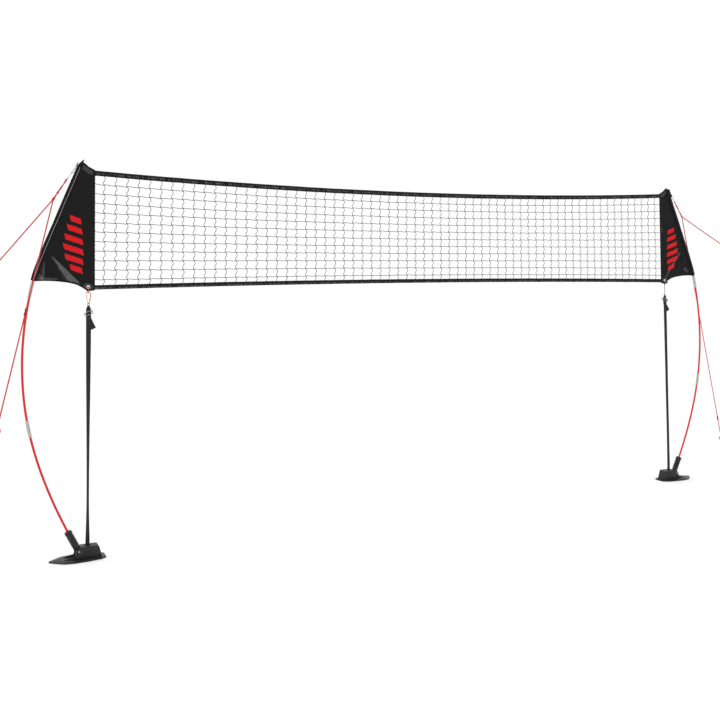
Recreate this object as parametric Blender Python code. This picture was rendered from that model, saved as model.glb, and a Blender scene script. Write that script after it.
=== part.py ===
"""Portable badminton net: two bowed poles on flat bases hold a net between two end panels.

Frame: metres, +Z up, +X along the net, floor at z = 0, the net in the plane y = 0.
Each end is described by (s, y, h): s is the distance outward from that end's
strap line, y the depth and h the height.  side is -1 for the left end, +1 for the right.
"""
import math

import bmesh
import bpy
import numpy as np
from mathutils import Matrix, Vector

MM = 0.001
GAP = 0.3 * MM                      # clearance between touching pieces

# ---- driving dimensions ---------------------------------------------------
HALF_SPAN = 1.525                   # strap line to net centre: a 10 ft net
TOP_TAPE_END_Z = 1.560              # upper edge of the top tape at the end panels
TOP_TAPE_MID_Z = 1.5205             # and at mid-net, where it sags
BOTTOM_TAPE_END_Z = 1.0965          # upper edge of the bottom tape at the panels
BOTTOM_TAPE_MID_Z = 1.1095
TOP_TAPE_HEIGHT = 21 * MM
BOTTOM_TAPE_HEIGHT = 18 * MM
TAPE_THICKNESS = 5 * MM
SEAM_TOP = (-0.029, 1.562)          # seam between the mesh and an end panel
SEAM_BOTTOM = (-0.0225, 1.076)
PANEL_THICKNESS = 1.6 * MM
NET_THICKNESS = 0.8 * MM

PIVOT = (0.050, 0.034)              # boot pivot on the base
BOOT_TILT = math.radians(26.5)      # boot's lean outward from the vertical
BOOT_LENGTH = 91 * MM               # pivot to the mouth of the socket
BOOT_FLATS = 27 * MM
SOCKET_DEPTH = 60 * MM

# the pole's centre line, from the socket's floor to the tip, bowed by the net's pull
POLE_LINE = [(0.0647, 0.0635), (0.0906, 0.1154), (0.149, 0.25), (0.2005, 0.40), (0.2355, 0.55),
             (0.252, 0.70), (0.2515, 0.85), (0.234, 1.00), (0.1995, 1.15), (0.1205, 1.35),
             (0.0245, 1.581)]
POLE_RADIUS = 4.75 * MM
POLE_BORE = 3.0 * MM
FERRULE_RADIUS = 6.8 * MM
FERRULE_BORE = 5.45 * MM
FERRULE_LENGTH = 66 * MM
FERRULE_HEIGHTS = {"lower": 0.536, "upper": 1.081}   # middle of each ferrule
SLEEVE_BOTTOM_Z = 1.118
SLEEVE_TOP_Z = 1.590
SLEEVE_HALF_WIDTH = 10.5 * MM
SLEEVE_HALF_DEPTH = 7.5 * MM
SLEEVE_BORE = 6.0 * MM

GROMMET = (0.0, 1.0897)
STRAP_FOOT = (0.014, 0.0525)        # where the strap meets its slot in the base
STRAP_WIDTH = 20 * MM
STRAP_THICKNESS = 1.4 * MM
HOOK_EYE_H = 1.0165                 # eye of the strap hook, which holds the strap
BUCKLE_H = 0.984
BUCKLE_TILT = math.radians(20)
STRAP_TWIST = {-1: math.radians(56), 1: math.radians(11)}
STRAP_FOOT_TWIST = {-1: math.radians(24), 1: math.radians(5)}
HOOK_TURN = {-1: 0.0, 1: math.radians(42)}

KNOT = (0.1305, 1.440)              # knot where the two guy lines meet the bridle
KNOT_RADIUS = 6 * MM
BRIDLE_RADIUS = 2.6 * MM
BRIDLE_KNOT_AT = {-1: 0.66, 1: 0.16}
GUY_RADIUS = 1.6 * MM
GUY_LOOP_RADIUS = 13 * MM
# each guy line: outward and depth run of the whole line to the ground, the length
# that is modelled, and the runner's place along it
GUY_LINES = {
    (-1, "front"): dict(run=(0.416, -0.75), length=0.955, runner=0.505),
    (-1, "back"): dict(run=(1.152, 0.90), length=0.395, runner=0.365),
    (1, "front"): dict(run=(1.578, -1.05), length=0.300, runner=0.270),
    (1, "back"): dict(run=(0.869, 0.54), length=1.660, runner=1.500),
}
RUNNER_LENGTH = 30 * MM

SIDES = {"left": -1, "right": 1}

# ---- materials ------------------------------------------------------------
FINISHES = {
    "moulding": ((0.030, 0.030, 0.032), 0.55, 0.0),
    "fibreglass": ((0.62, 0.012, 0.018), 0.28, 0.0),
    "steel": ((0.66, 0.66, 0.67), 0.25, 1.0),
    "fabric": ((0.022, 0.022, 0.025), 0.80, 0.0),
    "webbing": ((0.016, 0.016, 0.018), 0.85, 0.0),
    "twine": ((0.30, 0.30, 0.30), 0.80, 0.0),
    "cord": ((0.60, 0.020, 0.020), 0.65, 0.0),
    "elastic": ((0.75, 0.74, 0.70), 0.70, 0.0),
    "runner": ((0.28, 0.008, 0.012), 0.40, 0.0),
}


def make_materials():
    made = {}
    for name, (colour, roughness, metallic) in FINISHES.items():
        material = bpy.data.materials.new(name)
        material.use_nodes = True
        shader = material.node_tree.nodes["Principled BSDF"]
        shader.inputs["Base Color"].default_value = (*colour, 1.0)
        shader.inputs["Roughness"].default_value = roughness
        shader.inputs["Metallic"].default_value = metallic
        made[name] = material
    return made


# ---- helpers --------------------------------------------------------------
def world(side, s, y, h):
    """World position of an end's point."""
    return Vector((side * (HALF_SPAN + s), y, h))


def spline(points, per_span=8):
    """Points along a centripetal Catmull-Rom curve through the given ones."""
    pts = [Vector(p) for p in points]
    pts = [2 * pts[0] - pts[1]] + pts + [2 * pts[-1] - pts[-2]]
    out = []
    for a, b, c, d in zip(pts, pts[1:], pts[2:], pts[3:]):
        t1 = (b - a).length ** 0.5
        t2 = t1 + (c - b).length ** 0.5
        t3 = t2 + (d - c).length ** 0.5
        for k in range(per_span):
            t = t1 + (t2 - t1) * k / per_span
            ab = a.lerp(b, t / t1)
            bc = b.lerp(c, (t - t1) / (t2 - t1))
            cd = c.lerp(d, (t - t2) / (t3 - t2))
            abc = ab.lerp(bc, t / t2)
            bcd = bc.lerp(cd, (t - t1) / (t3 - t1))
            out.append(abc.lerp(bcd, (t - t1) / (t2 - t1)))
    out.append(pts[-2].copy())
    return out


POLE_CURVE = spline([(s, 0.0, h) for s, h in POLE_LINE], per_span=12)


def pole_at(h):
    """Centre line of the pole at a height: point and unit tangent, as (s, 0, h)."""
    for a, b in zip(POLE_CURVE, POLE_CURVE[1:]):
        if a.z <= h <= b.z:
            return a.lerp(b, (h - a.z) / (b.z - a.z)), (b - a).normalized()
    end = POLE_CURVE[0] if h < POLE_CURVE[0].z else POLE_CURVE[-1]
    near = POLE_CURVE[1] if h < POLE_CURVE[0].z else POLE_CURVE[-2]
    tangent = (near - end) if h < end.z else (end - near)
    tangent = tangent.normalized()
    return end + tangent * ((h - end.z) / tangent.z), tangent


def beside_pole(h, offset):
    """Point in the net plane, offset outward from the pole's centre line at a height."""
    point, tangent = pole_at(h)
    outward = Vector((tangent.z, 0.0, -tangent.x))
    return point + outward * offset


def finish_object(name, bm, origin, material, parent, smooth=True):
    """Turn a bmesh in world coordinates into an object whose origin is given."""
    bmesh.ops.recalc_face_normals(bm, faces=bm.faces)
    bmesh.ops.translate(bm, verts=bm.verts, vec=-Vector(origin))
    mesh = bpy.data.meshes.new(name)
    bm.to_mesh(mesh)
    bm.free()
    if smooth:
        mesh.shade_smooth()
        mesh.set_sharp_from_angle(angle=math.radians(35))
    mesh.materials.append(material)
    obj = bpy.data.objects.new(name, mesh)
    bpy.context.scene.collection.objects.link(obj)
    obj.parent = parent
    obj.location = Vector(origin) - (parent.matrix_world.translation if parent else Vector())
    return obj


def add_ring(bm, centre, tangent, half_a, half_b, count, reference=Vector((0, 1, 0)), turn=0.0):
    """A ring of vertices around a path point; half_b is along the reference direction."""
    across = reference.cross(tangent).normalized()
    along = tangent.cross(across).normalized()
    ring = []
    for k in range(count):
        angle = turn + 2 * math.pi * k / count
        offset = across * (half_a * math.cos(angle)) + along * (half_b * math.sin(angle))
        ring.append(bm.verts.new(centre + offset))
    return ring


def bridge(bm, low, high):
    count = len(low)
    for k in range(count):
        bm.faces.new((low[k], low[(k + 1) % count], high[(k + 1) % count], high[k]))


def tangents(points, closed=False):
    out = []
    last = len(points) - 1
    for k in range(len(points)):
        if closed:
            step = points[(k + 1) % len(points)] - points[k - 1]
        else:
            step = points[min(k + 1, last)] - points[max(k - 1, 0)]
        out.append(step.normalized())
    return out


def swept_rod(points, radii, count=8, half_b=None, reference=Vector((0, 1, 0)), closed=False):
    """A solid rod along a path; radii is one value or one per point."""
    bm = bmesh.new()
    if not hasattr(radii, "__len__"):
        radii = [radii] * len(points)
    rings = []
    for point, tangent, radius in zip(points, tangents(points, closed), radii):
        depth = radius if half_b is None else half_b
        rings.append(add_ring(bm, point, tangent, radius, depth, count, reference))
    for low, high in zip(rings, rings[1:]):
        bridge(bm, low, high)
    if closed:
        bridge(bm, rings[-1], rings[0])
    else:
        bm.faces.new(rings[0])
        bm.faces.new(rings[-1])
    return bm


def hollow_rod(points, outer, bore, count=10, half_b=None, blind=0.0):
    """A tube along a path; with blind > 0 the far end is closed by that thickness."""
    bm = bmesh.new()
    path_tangents = tangents(points)
    depth = outer if half_b is None else half_b
    outside = []
    inside = []
    for point, tangent in zip(points, path_tangents):
        outside.append(add_ring(bm, point, tangent, outer, depth, count))
    for k, (point, tangent) in enumerate(zip(points, path_tangents)):
        centre = point - tangent * blind if blind and k == len(points) - 1 else point
        inside.append(add_ring(bm, centre, tangent, bore, bore, count))
    for rings in (outside, inside):
        for low, high in zip(rings, rings[1:]):
            bridge(bm, low, high)
    bridge(bm, outside[0], inside[0])
    if blind:
        bm.faces.new(outside[-1])
        bm.faces.new(inside[-1])
    else:
        bridge(bm, outside[-1], inside[-1])
    return bm


def ribbon(points, widths, thickness, width_directions):
    """A flat strip along a path; each point has its own width and width direction."""
    bm = bmesh.new()
    rings = []
    for point, tangent, width, across in zip(points, tangents(points), widths, width_directions):
        across = (across - tangent * across.dot(tangent)).normalized()
        normal = tangent.cross(across).normalized()
        a = across * (width / 2)
        n = normal * (thickness / 2)
        corners = (a + n, n - a, -a - n, a - n)
        rings.append([bm.verts.new(point + corner) for corner in corners])
    for low, high in zip(rings, rings[1:]):
        bridge(bm, low, high)
    bm.faces.new(rings[0])
    bm.faces.new(rings[-1])
    return bm


def slab(outline, low, high, place):
    """A flat plate: the outline's (u, v) points, from depth low to depth high."""
    bm = bmesh.new()
    bottom = [bm.verts.new(place(u, low, v)) for u, v in outline]
    top = [bm.verts.new(place(u, high, v)) for u, v in outline]
    bm.faces.new(bottom)
    bm.faces.new(top)
    bridge(bm, bottom, top)
    bmesh.ops.triangulate(bm, faces=[f for f in bm.faces if len(f.verts) > 4])
    return bm


def turned(profile, centre, axis, count=16):
    """A ring turned about an axis; the profile is a closed loop of (radius, along)."""
    bm = bmesh.new()
    rotation = Vector((0, 0, 1)).rotation_difference(Vector(axis)).to_matrix()
    rings = []
    for k in range(count):
        angle = 2 * math.pi * k / count
        ring = []
        for radius, along in profile:
            local = Vector((radius * math.cos(angle), radius * math.sin(angle), along))
            ring.append(bm.verts.new(Vector(centre) + rotation @ local))
        rings.append(ring)
    for k in range(count):
        bridge(bm, rings[k], rings[(k + 1) % count])
    return bm


def turned_pin(profile, centre, axis, count=12):
    """A solid turned about an axis, from (radius, along) pairs in order."""
    axis = Vector(axis).normalized()
    points = [Vector(centre) + axis * along for radius, along in profile]
    reference = Vector((0, 0, 1)) if abs(axis.z) < 0.9 else Vector((0, 1, 0))
    bm = bmesh.new()
    rings = []
    for point, (radius, along) in zip(points, profile):
        rings.append(add_ring(bm, point, axis, radius, radius, count, reference))
    for low, high in zip(rings, rings[1:]):
        bridge(bm, low, high)
    bm.faces.new(rings[0])
    bm.faces.new(rings[-1])
    return bm


def box(low, high):
    bm = bmesh.new()
    bmesh.ops.create_cube(bm, size=1.0)
    low = Vector(low)
    high = Vector(high)
    bmesh.ops.scale(bm, verts=bm.verts, vec=high - low)
    bmesh.ops.translate(bm, verts=bm.verts, vec=(low + high) / 2)
    return bm


def mesh_object(bm, name):
    bmesh.ops.recalc_face_normals(bm, faces=bm.faces)
    mesh = bpy.data.meshes.new(name)
    bm.to_mesh(mesh)
    bm.free()
    obj = bpy.data.objects.new(name, mesh)
    bpy.context.scene.collection.objects.link(obj)
    return obj


def combined(base, *operations):
    """Apply boolean operations, given as (operation, bmesh) pairs, to a bmesh."""
    target = mesh_object(base, "work")
    tools = []
    for k, (operation, tool_bm) in enumerate(operations):
        tool = mesh_object(tool_bm, f"tool{k}")
        tool.hide_render = True
        modifier = target.modifiers.new(f"step{k}", "BOOLEAN")
        modifier.operation = operation
        modifier.object = tool
        tools.append(tool)
    bpy.context.view_layer.update()
    evaluated = target.evaluated_get(bpy.context.evaluated_depsgraph_get())
    result = bmesh.new()
    result.from_mesh(evaluated.to_mesh())
    evaluated.to_mesh_clear()
    bmesh.ops.remove_doubles(result, verts=result.verts, dist=1e-6)
    for obj in [target, *tools]:
        mesh = obj.data
        bpy.data.objects.remove(obj)
        bpy.data.meshes.remove(mesh)
    return result


def arc(centre, radius, start, stop, steps):
    """(u, v) points on an arc; angles in degrees, both ends included."""
    out = []
    for k in range(steps + 1):
        angle = math.radians(start + (stop - start) * k / steps)
        out.append((centre[0] + radius * math.cos(angle), centre[1] + radius * math.sin(angle)))
    return out


# ---- base -----------------------------------------------------------------
PLATE_HALF_OUTLINE = [(-0.055, 0.028), (-0.036, 0.043), (0.020, 0.055), (0.075, 0.058),
                      (0.112, 0.050), (0.163, 0.004)]
PLATE_THICKNESS = 5 * MM
HOUSING_HALF_WIDTH = 24.5 * MM
HOUSING_PROFILE = [(-0.040, 0.0035), (-0.029, 0.046), (-0.024, 0.052), (0.040, 0.052),
                   (0.052, 0.047), (0.062, 0.034), (0.068, 0.0035)]
BOOT_SLOT_HALF = 15 * MM
BOOT_SLOT = [(0.0362, 0.0052), (0.0362, 0.0376), (0.0524, 0.070), (0.080, 0.070),
             (0.080, 0.0052)]       # its sloped inner wall is the boot's stop
STRAP_SLOT = (0.0005, 0.0275)       # strap pocket, along s
STRAP_SLOT_HALF = 6 * MM
POCKET_FLOOR = 10 * MM
BOLT_RADIUS = 3.0 * MM
BOLT_HOLE = 3.35 * MM
ANCHOR_PIN = (0.014, 0.024)


def base_shell(side):
    """Ground plate and boot housing, moulded in one piece."""
    outline = PLATE_HALF_OUTLINE + [(s, -y) for s, y in reversed(PLATE_HALF_OUTLINE)]
    plate = slab(outline, 0.0, PLATE_THICKNESS, lambda u, h, v: world(side, u, v, h))
    rim = [edge for edge in plate.edges
           if all(v.co.z > PLATE_THICKNESS - 1e-6 for v in edge.verts) and len(edge.link_faces) == 2
           and any(abs(f.normal.z) < 0.5 for f in edge.link_faces)]
    plate.normal_update()
    rim = [edge for edge in rim if any(abs(f.normal.z) < 0.5 for f in edge.link_faces)]
    bmesh.ops.bevel(plate, geom=rim, offset=1.8 * MM, segments=1, affect="EDGES")
    housing = slab(HOUSING_PROFILE, -HOUSING_HALF_WIDTH, HOUSING_HALF_WIDTH,
                   lambda u, y, v: world(side, u, y, v))

    def cutter(s_range, half_y, h_range):
        ends = [side * (HALF_SPAN + s) for s in s_range]
        return box((min(ends), -half_y, h_range[0]), (max(ends), half_y, h_range[1]))

    boot_slot = slab(BOOT_SLOT, -BOOT_SLOT_HALF, BOOT_SLOT_HALF, lambda u, y, v: world(side, u, y, v))
    strap_slot = cutter(STRAP_SLOT, STRAP_SLOT_HALF, (POCKET_FLOOR, 0.070))
    bolt_hole = turned_pin([(BOLT_HOLE, -0.040), (BOLT_HOLE, 0.040)],
                           world(side, PIVOT[0], 0, PIVOT[1]), (0, 1, 0))
    return combined(plate, ("UNION", housing), ("DIFFERENCE", boot_slot),
                    ("DIFFERENCE", strap_slot), ("DIFFERENCE", bolt_hole))


def pivot_bolt(side):
    """Rivet through both cheeks and the boot, with a low domed head at each end."""
    face = HOUSING_HALF_WIDTH + GAP
    dome = [(4.6 * MM, face + 1.6 * MM), (2.6 * MM, face + 2.4 * MM)]
    half = [(BOLT_RADIUS, 0.0), (BOLT_RADIUS, face), (5.6 * MM, face), (5.6 * MM, face + 0.7 * MM)]
    half += dome
    profile = [(r, -y) for r, y in reversed(half[1:])] + half[1:]
    return turned_pin(profile, world(side, PIVOT[0], 0, PIVOT[1]), (0, 1, 0))


def boot_axis(side):
    return Vector((side * math.sin(BOOT_TILT), 0.0, math.cos(BOOT_TILT)))


def boot(side):
    """Socket for the pole: an eight-sided barrel with a rounded pivot lug."""
    pivot = world(side, PIVOT[0], 0, PIVOT[1])
    axis = boot_axis(side)
    radius = BOOT_FLATS / 2 / math.cos(math.pi / 8)
    barrel = bmesh.new()
    rings = []
    for along, scale in ((4 * MM, 0.90), (22 * MM, 1.0), (84 * MM, 1.0), (BOOT_LENGTH, 0.93)):
        rings.append(add_ring(barrel, pivot + axis * along, axis, radius * scale,
                              radius * scale, 8, turn=math.pi / 8))
    for low, high in zip(rings, rings[1:]):
        bridge(barrel, low, high)
    barrel.faces.new(rings[0])
    barrel.faces.new(rings[-1])
    lug = turned_pin([(13.3 * MM, -12 * MM), (13.3 * MM, 12 * MM)], pivot, (0, 1, 0), count=20)
    bore = bmesh.new()
    bore_rings = [add_ring(bore, pivot + axis * along, axis, 5.3 * MM, 5.3 * MM, 12)
                  for along in (BOOT_LENGTH - SOCKET_DEPTH, BOOT_LENGTH + 10 * MM)]
    bridge(bore, *bore_rings)
    bore.faces.new(bore_rings[0])
    bore.faces.new(bore_rings[1])
    pin_hole = turned_pin([(BOLT_HOLE, -0.040), (BOLT_HOLE, 0.040)], pivot, (0, 1, 0))
    return combined(barrel, ("UNION", lug), ("DIFFERENCE", bore), ("DIFFERENCE", pin_hole))


def anchor_pin(side):
    """Steel pin across the strap pocket, which the strap's sewn end loops around."""
    low, high = STRAP_SLOT
    half = (high - low) / 2 - GAP
    profile = [(2.2 * MM, -half), (2.2 * MM, half)]
    return turned_pin(profile, world(side, (low + high) / 2, 0, ANCHOR_PIN[1]), (1, 0, 0), 10)


def strap_end_loop(side):
    """The strap's sewn end, from the slot's mouth down around the anchor pin."""
    s, pin_h = ANCHOR_PIN
    ring = 3.6 * MM
    points = [Vector((0, -ring * 0.9, STRAP_FOOT[1] - 1.0 * MM)), Vector((0, -ring, pin_h + 8 * MM))]
    points += [Vector((0, y, h)) for y, h in arc((0, pin_h), ring, 180, 360, 8)]
    points += [Vector((0, ring, pin_h + 8 * MM)), Vector((0, ring * 0.9, pin_h + 20 * MM))]
    places = [world(side, s, p.y, p.z) for p in points]
    count = len(places)
    return ribbon(places, [STRAP_WIDTH] * count, STRAP_THICKNESS, [Vector((1, 0, 0))] * count)


# ---- poles ----------------------------------------------------------------
def pole_path(side, low, high, steps):
    return [world(side, p.x, 0, p.z)
            for p in (pole_at(low + (high - low) * k / steps)[0] for k in range(steps + 1))]


def pole_sections():
    """Height ranges of the three sections, which butt inside the ferrules."""
    lower = FERRULE_HEIGHTS["lower"]
    upper = FERRULE_HEIGHTS["upper"]
    return {
        "lower": (POLE_LINE[0][1], lower - GAP),
        "middle": (lower + GAP, upper - GAP),
        "upper": (upper + GAP, POLE_LINE[-1][1]),
    }


def pole_section(side, which):
    low, high = pole_sections()[which]
    return hollow_rod(pole_path(side, low, high, 14), POLE_RADIUS, POLE_BORE)


def ferrule(side, which):
    middle = FERRULE_HEIGHTS[which]
    _, tangent = pole_at(middle)
    reach = FERRULE_LENGTH / 2 * tangent.z
    return hollow_rod(pole_path(side, middle - reach, middle + reach, 4), FERRULE_RADIUS, FERRULE_BORE)


def shock_cord(side):
    """Elastic cord inside all three sections, ending in a stopper knot in the tip."""
    low = POLE_LINE[0][1] + 2 * MM
    high = POLE_LINE[-1][1] - 3 * MM
    points = pole_path(side, low, high, 26)
    radii = [1.2 * MM] * len(points)
    radii[0] = 2.2 * MM
    radii[-1] = 2.4 * MM
    return swept_rod(points, radii, count=6)


def pole_sleeve(side):
    """Fabric sleeve on the panel's slanted edge, closed over the pole's tip."""
    points = pole_path(side, SLEEVE_BOTTOM_Z, SLEEVE_TOP_Z, 14)
    return hollow_rod(points, SLEEVE_HALF_WIDTH, SLEEVE_BORE, count=12,
                      half_b=SLEEVE_HALF_DEPTH, blind=6 * MM)


# ---- net, tapes and end panels --------------------------------------------
def sag(x, end_z, mid_z):
    return mid_z + (end_z - mid_z) * (x / (HALF_SPAN + SEAM_TOP[0])) ** 2


def seam_s(h):
    share = (h - SEAM_BOTTOM[1]) / (SEAM_TOP[1] - SEAM_BOTTOM[1])
    return SEAM_BOTTOM[0] + (SEAM_TOP[0] - SEAM_BOTTOM[0]) * share


NET_STATIONS = 20


def net_stations(h):
    """Places along the net, shared by its edges, between the seams at a height."""
    half = HALF_SPAN + seam_s(h) - 3 * GAP
    return [half * (2 * k / NET_STATIONS - 1) for k in range(NET_STATIONS + 1)]


def tape(end_z, mid_z, height):
    """A folded tape with round edges, sagging between the two panels."""
    points = [Vector((x, 0, sag(x, end_z, mid_z) - height / 2)) for x in net_stations(end_z)]
    return swept_rod(points, height / 2, count=8, half_b=TAPE_THICKNESS / 2)


def net_mesh():
    """The mesh field between the tapes, as a thin sheet."""
    outline = [(x, sag(x, BOTTOM_TAPE_END_Z, BOTTOM_TAPE_MID_Z) + GAP)
               for x in net_stations(BOTTOM_TAPE_END_Z)]
    outline += [(x, sag(x, TOP_TAPE_END_Z, TOP_TAPE_MID_Z) - TOP_TAPE_HEIGHT - GAP)
                for x in reversed(net_stations(TOP_TAPE_END_Z))]
    half = NET_THICKNESS / 2
    return slab(outline, -half, half, lambda u, y, v: Vector((u, y, v)))


PANEL_HEM = [(0.190, 1.1155), (0.160, 1.1165), (0.113, 1.1135), (0.070, 1.107), (0.040, 1.098),
             (0.020, 1.0865), (0.004, 1.0765)]
PANEL_HOLE = 5.2 * MM


def panel_outline():
    """Outer edge along the sleeve, top edge, seam, corner and the curved hem."""
    outline = []
    for k in range(15):
        h = SLEEVE_BOTTOM_Z + (SLEEVE_TOP_Z - SLEEVE_BOTTOM_Z) * k / 14
        point = beside_pole(h, -(SLEEVE_HALF_WIDTH + GAP))
        outline.append((point.x, point.z))
    outline.append((-0.004, 1.574))
    outline.append(SEAM_TOP)
    outline.append(SEAM_BOTTOM)
    outline.extend(reversed(PANEL_HEM))
    return outline


def end_panel(side):
    """Fabric panel between the sleeve and the mesh, with the corner grommet's hole."""
    half = PANEL_THICKNESS / 2
    sheet = slab(panel_outline(), -half, half, lambda u, y, v: world(side, u, y, v))
    hole = turned_pin([(PANEL_HOLE, -0.010), (PANEL_HOLE, 0.010)],
                      world(side, GROMMET[0], 0, GROMMET[1]), (0, 1, 0), 16)
    return combined(sheet, ("DIFFERENCE", hole))


# ---- strap and its hardware -----------------------------------------------
def grommet(side):
    inner = 4.0 * MM
    barrel = 4.9 * MM
    flange = 8.0 * MM
    near = PANEL_THICKNESS / 2 + GAP
    far = near + 1.0 * MM
    profile = [(inner, -far), (flange, -far), (flange, -near), (barrel, -near),
               (barrel, near), (flange, near), (flange, far), (inner, far)]
    return turned(profile, world(side, GROMMET[0], 0, GROMMET[1]), (0, 1, 0))


LINK_HALF_DEPTH = 4.4 * MM
LINK_TOP_H = 1.0880
LINK_BOTTOM_H = 1.0645
LINK_WIRE = 1.2 * MM


def hook_link(side):
    """Oval wire link through the grommet, at right angles to the panel."""
    radius = LINK_HALF_DEPTH
    upper = arc((0, LINK_TOP_H - radius), radius, 0, 180, 7)
    lower = arc((0, LINK_BOTTOM_H + radius), radius, 180, 360, 7)
    points = [world(side, GROMMET[0], y, h) for y, h in upper + lower]
    return swept_rod(points, LINK_WIRE, count=6, reference=Vector((1, 0, 0)), closed=True)


# a snap hook's outline in its own plane, from the gate's hinge round the nose to its
# mouth; (across, along) in mm, with the eye's centre at the origin and the nose upward
HOOK_BODY = [(4.2, 13.0), (1.6, 7.6), (-2.2, 7.8), (-5.0, 17.0), (-8.6, 38.0), (-8.6, 45.0),
             (-4.6, 50.6), (0.8, 51.8), (5.6, 49.4), (7.9, 45.0)]
HOOK_GATE = [(8.05, 41.6), (4.75, 15.6)]
HOOK_WIRE = 1.5
HOOK_EYE_RADIUS = 5.0
HOOK_EYE_WIRE = 1.4
HOOK_GATE_WIRE = 1.2


def hook_axes(direction, turn, side):
    """Unit vectors across and along a hook; turn is about its own length."""
    along = direction.normalized()
    across = Vector((0, 1, 0)).cross(along).normalized() * side
    across = Matrix.Rotation(turn, 3, along) @ across
    return across, along


def hook_body(eye, across, along, scale):
    """Bent wire from the gate's hinge to the mouth, joined to the round eye."""
    flat = spline([(a, b, 0) for a, b in HOOK_BODY], per_span=3)
    points = [eye + (across * p.x + along * p.y) * (scale * MM) for p in flat]
    normal = across.cross(along)
    wire = swept_rod(points, HOOK_WIRE * scale * MM, count=6, reference=normal)
    ring_points = [eye + (across * a + along * b) * (scale * MM)
                   for a, b in arc((0, 0), HOOK_EYE_RADIUS, 0, 337.5, 15)]
    ring = swept_rod(ring_points, HOOK_EYE_WIRE * scale * MM, count=6, reference=normal, closed=True)
    neck = swept_rod([eye + along * (b * scale * MM) for b in (HOOK_EYE_RADIUS - 0.35, 8.7)],
                     2.05 * scale * MM, count=7, reference=normal)
    return combined(wire, ("UNION", neck), ("UNION", ring))


def hook_gate(eye, across, along, scale):
    points = [eye + (across * a + along * b) * (scale * MM) for a, b in reversed(HOOK_GATE)]
    return swept_rod(points, HOOK_GATE_WIRE * scale * MM, count=6, reference=across.cross(along))


def gate_hinge(eye, across, along, scale):
    a, b = HOOK_GATE[1]
    return eye + (across * a + along * b) * (scale * MM)


STRAP_HOOK_SCALE = 1.0
STRAP_HOOK_EYE = (0.0, HOOK_EYE_H)


def strap_hook_frame(side):
    eye = world(side, STRAP_HOOK_EYE[0], 0, STRAP_HOOK_EYE[1])
    across, along = hook_axes(Vector((0, 0, 1)), HOOK_TURN[side], side)
    return eye, across, along, STRAP_HOOK_SCALE


STRAP_TOP_H = HOOK_EYE_H - 2.2 * MM     # underside of the strap's pass through the eye
STRAP_LAYER = 1.3 * MM                  # each layer's offset from the net plane


def strap_s(h):
    """The strap leans outward a little from its hook to its slot."""
    share = (BUCKLE_H - h) / (BUCKLE_H - STRAP_FOOT[1])
    return max(0.0, share) * STRAP_FOOT[0]


def strap_turn(side, h):
    """Twist of the webbing: none at the buckle, most low down, less at the slot."""
    top = 0.93
    peak = 0.24
    if h >= top:
        return 0.0
    if h > peak:
        return STRAP_TWIST[side] * math.sin((top - h) / (top - peak) * math.pi / 2)
    share = (h - STRAP_FOOT[1]) / (peak - STRAP_FOOT[1])
    foot = STRAP_FOOT_TWIST[side]
    return foot + (STRAP_TWIST[side] - foot) * math.sin(max(0.0, share) * math.pi / 2)


def strap_width_direction(side, h):
    turn = strap_turn(side, h)
    return Vector((math.cos(turn), math.sin(turn), 0))


def strap(side):
    """Webbing from the base's slot up through the hook's eye and back to the buckle."""
    points = []
    widths = []
    directions = []
    steps = 26
    for k in range(steps + 1):
        h = STRAP_FOOT[1] + (0.995 - STRAP_FOOT[1]) * k / steps
        ease = min(1.0, (h - STRAP_FOOT[1]) / 0.05)
        points.append(world(side, strap_s(h), -STRAP_LAYER * ease, h))
        widths.append(STRAP_WIDTH)
        directions.append(strap_width_direction(side, h))
    turn = HOOK_TURN[side] * side
    narrow = Vector((math.cos(turn), math.sin(turn), 0))
    flat = Vector((1, 0, 0))
    normal = narrow.cross(Vector((0, 0, 1)))
    if normal.y < 0:
        normal = -normal
    loop = [(1.003, -2.0, 14, 0.4), (1.0085, -2.6, 6.0, 1.0)]
    loop += [(HOOK_EYE_H - 5.0 * MM + 2.9 * MM * math.sin(math.radians(a)),
              -2.9 * math.cos(math.radians(a)), 4.2, 1.0) for a in (20, 60, 90, 120, 160)]
    loop += [(1.0085, 2.6, 6.0, 1.0), (1.003, 2.0, 14, 0.4), (0.9935, 1.3, 20, 0.0)]
    for h, depth, width, share in loop:
        side_step = flat.lerp(narrow, share).normalized()
        out = Vector((0, 1, 0)).lerp(normal, share).normalized()
        points.append(world(side, 0, 0, h) + out * (depth * MM))
        widths.append(width * MM)
        directions.append(side_step)
    return ribbon(points, widths, STRAP_THICKNESS, directions)


TAIL_ANGLE = math.radians(25)
TAIL_LENGTH = 52 * MM


def strap_tail(side):
    """The strap's free end: behind the strap in the buckle, then swinging sideways."""
    swing = Vector((1, 0, 0))
    start = world(side, 0, 0, BUCKLE_H)
    points = [start + Vector((0, STRAP_LAYER + 0.1 * MM, 8 * MM)),
              start + Vector((0, STRAP_LAYER + 0.1 * MM, -16 * MM))]
    last = points[-1]
    steps = 5
    for k in range(1, steps + 1):
        angle = TAIL_ANGLE * min(1.0, k / 2)
        last = last + (swing * math.sin(angle) - Vector((0, 0, math.cos(angle)))) * (TAIL_LENGTH / steps)
        last = last + Vector((0, 0.5 * MM, 0))
        points.append(last.copy())
    directions = [Vector((1, 0, 0))] * len(points)
    return ribbon(points, [STRAP_WIDTH] * len(points), STRAP_THICKNESS, directions)


BUCKLE_HALF_WIDTH = 17.5 * MM
BUCKLE_INNER = 14.6 * MM
BUCKLE_HALF_HEIGHT = 8.5 * MM
BUCKLE_BAR = 2.2 * MM
BUCKLE_NEAR = 2.7 * MM
BUCKLE_FAR = 4.9 * MM


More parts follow.
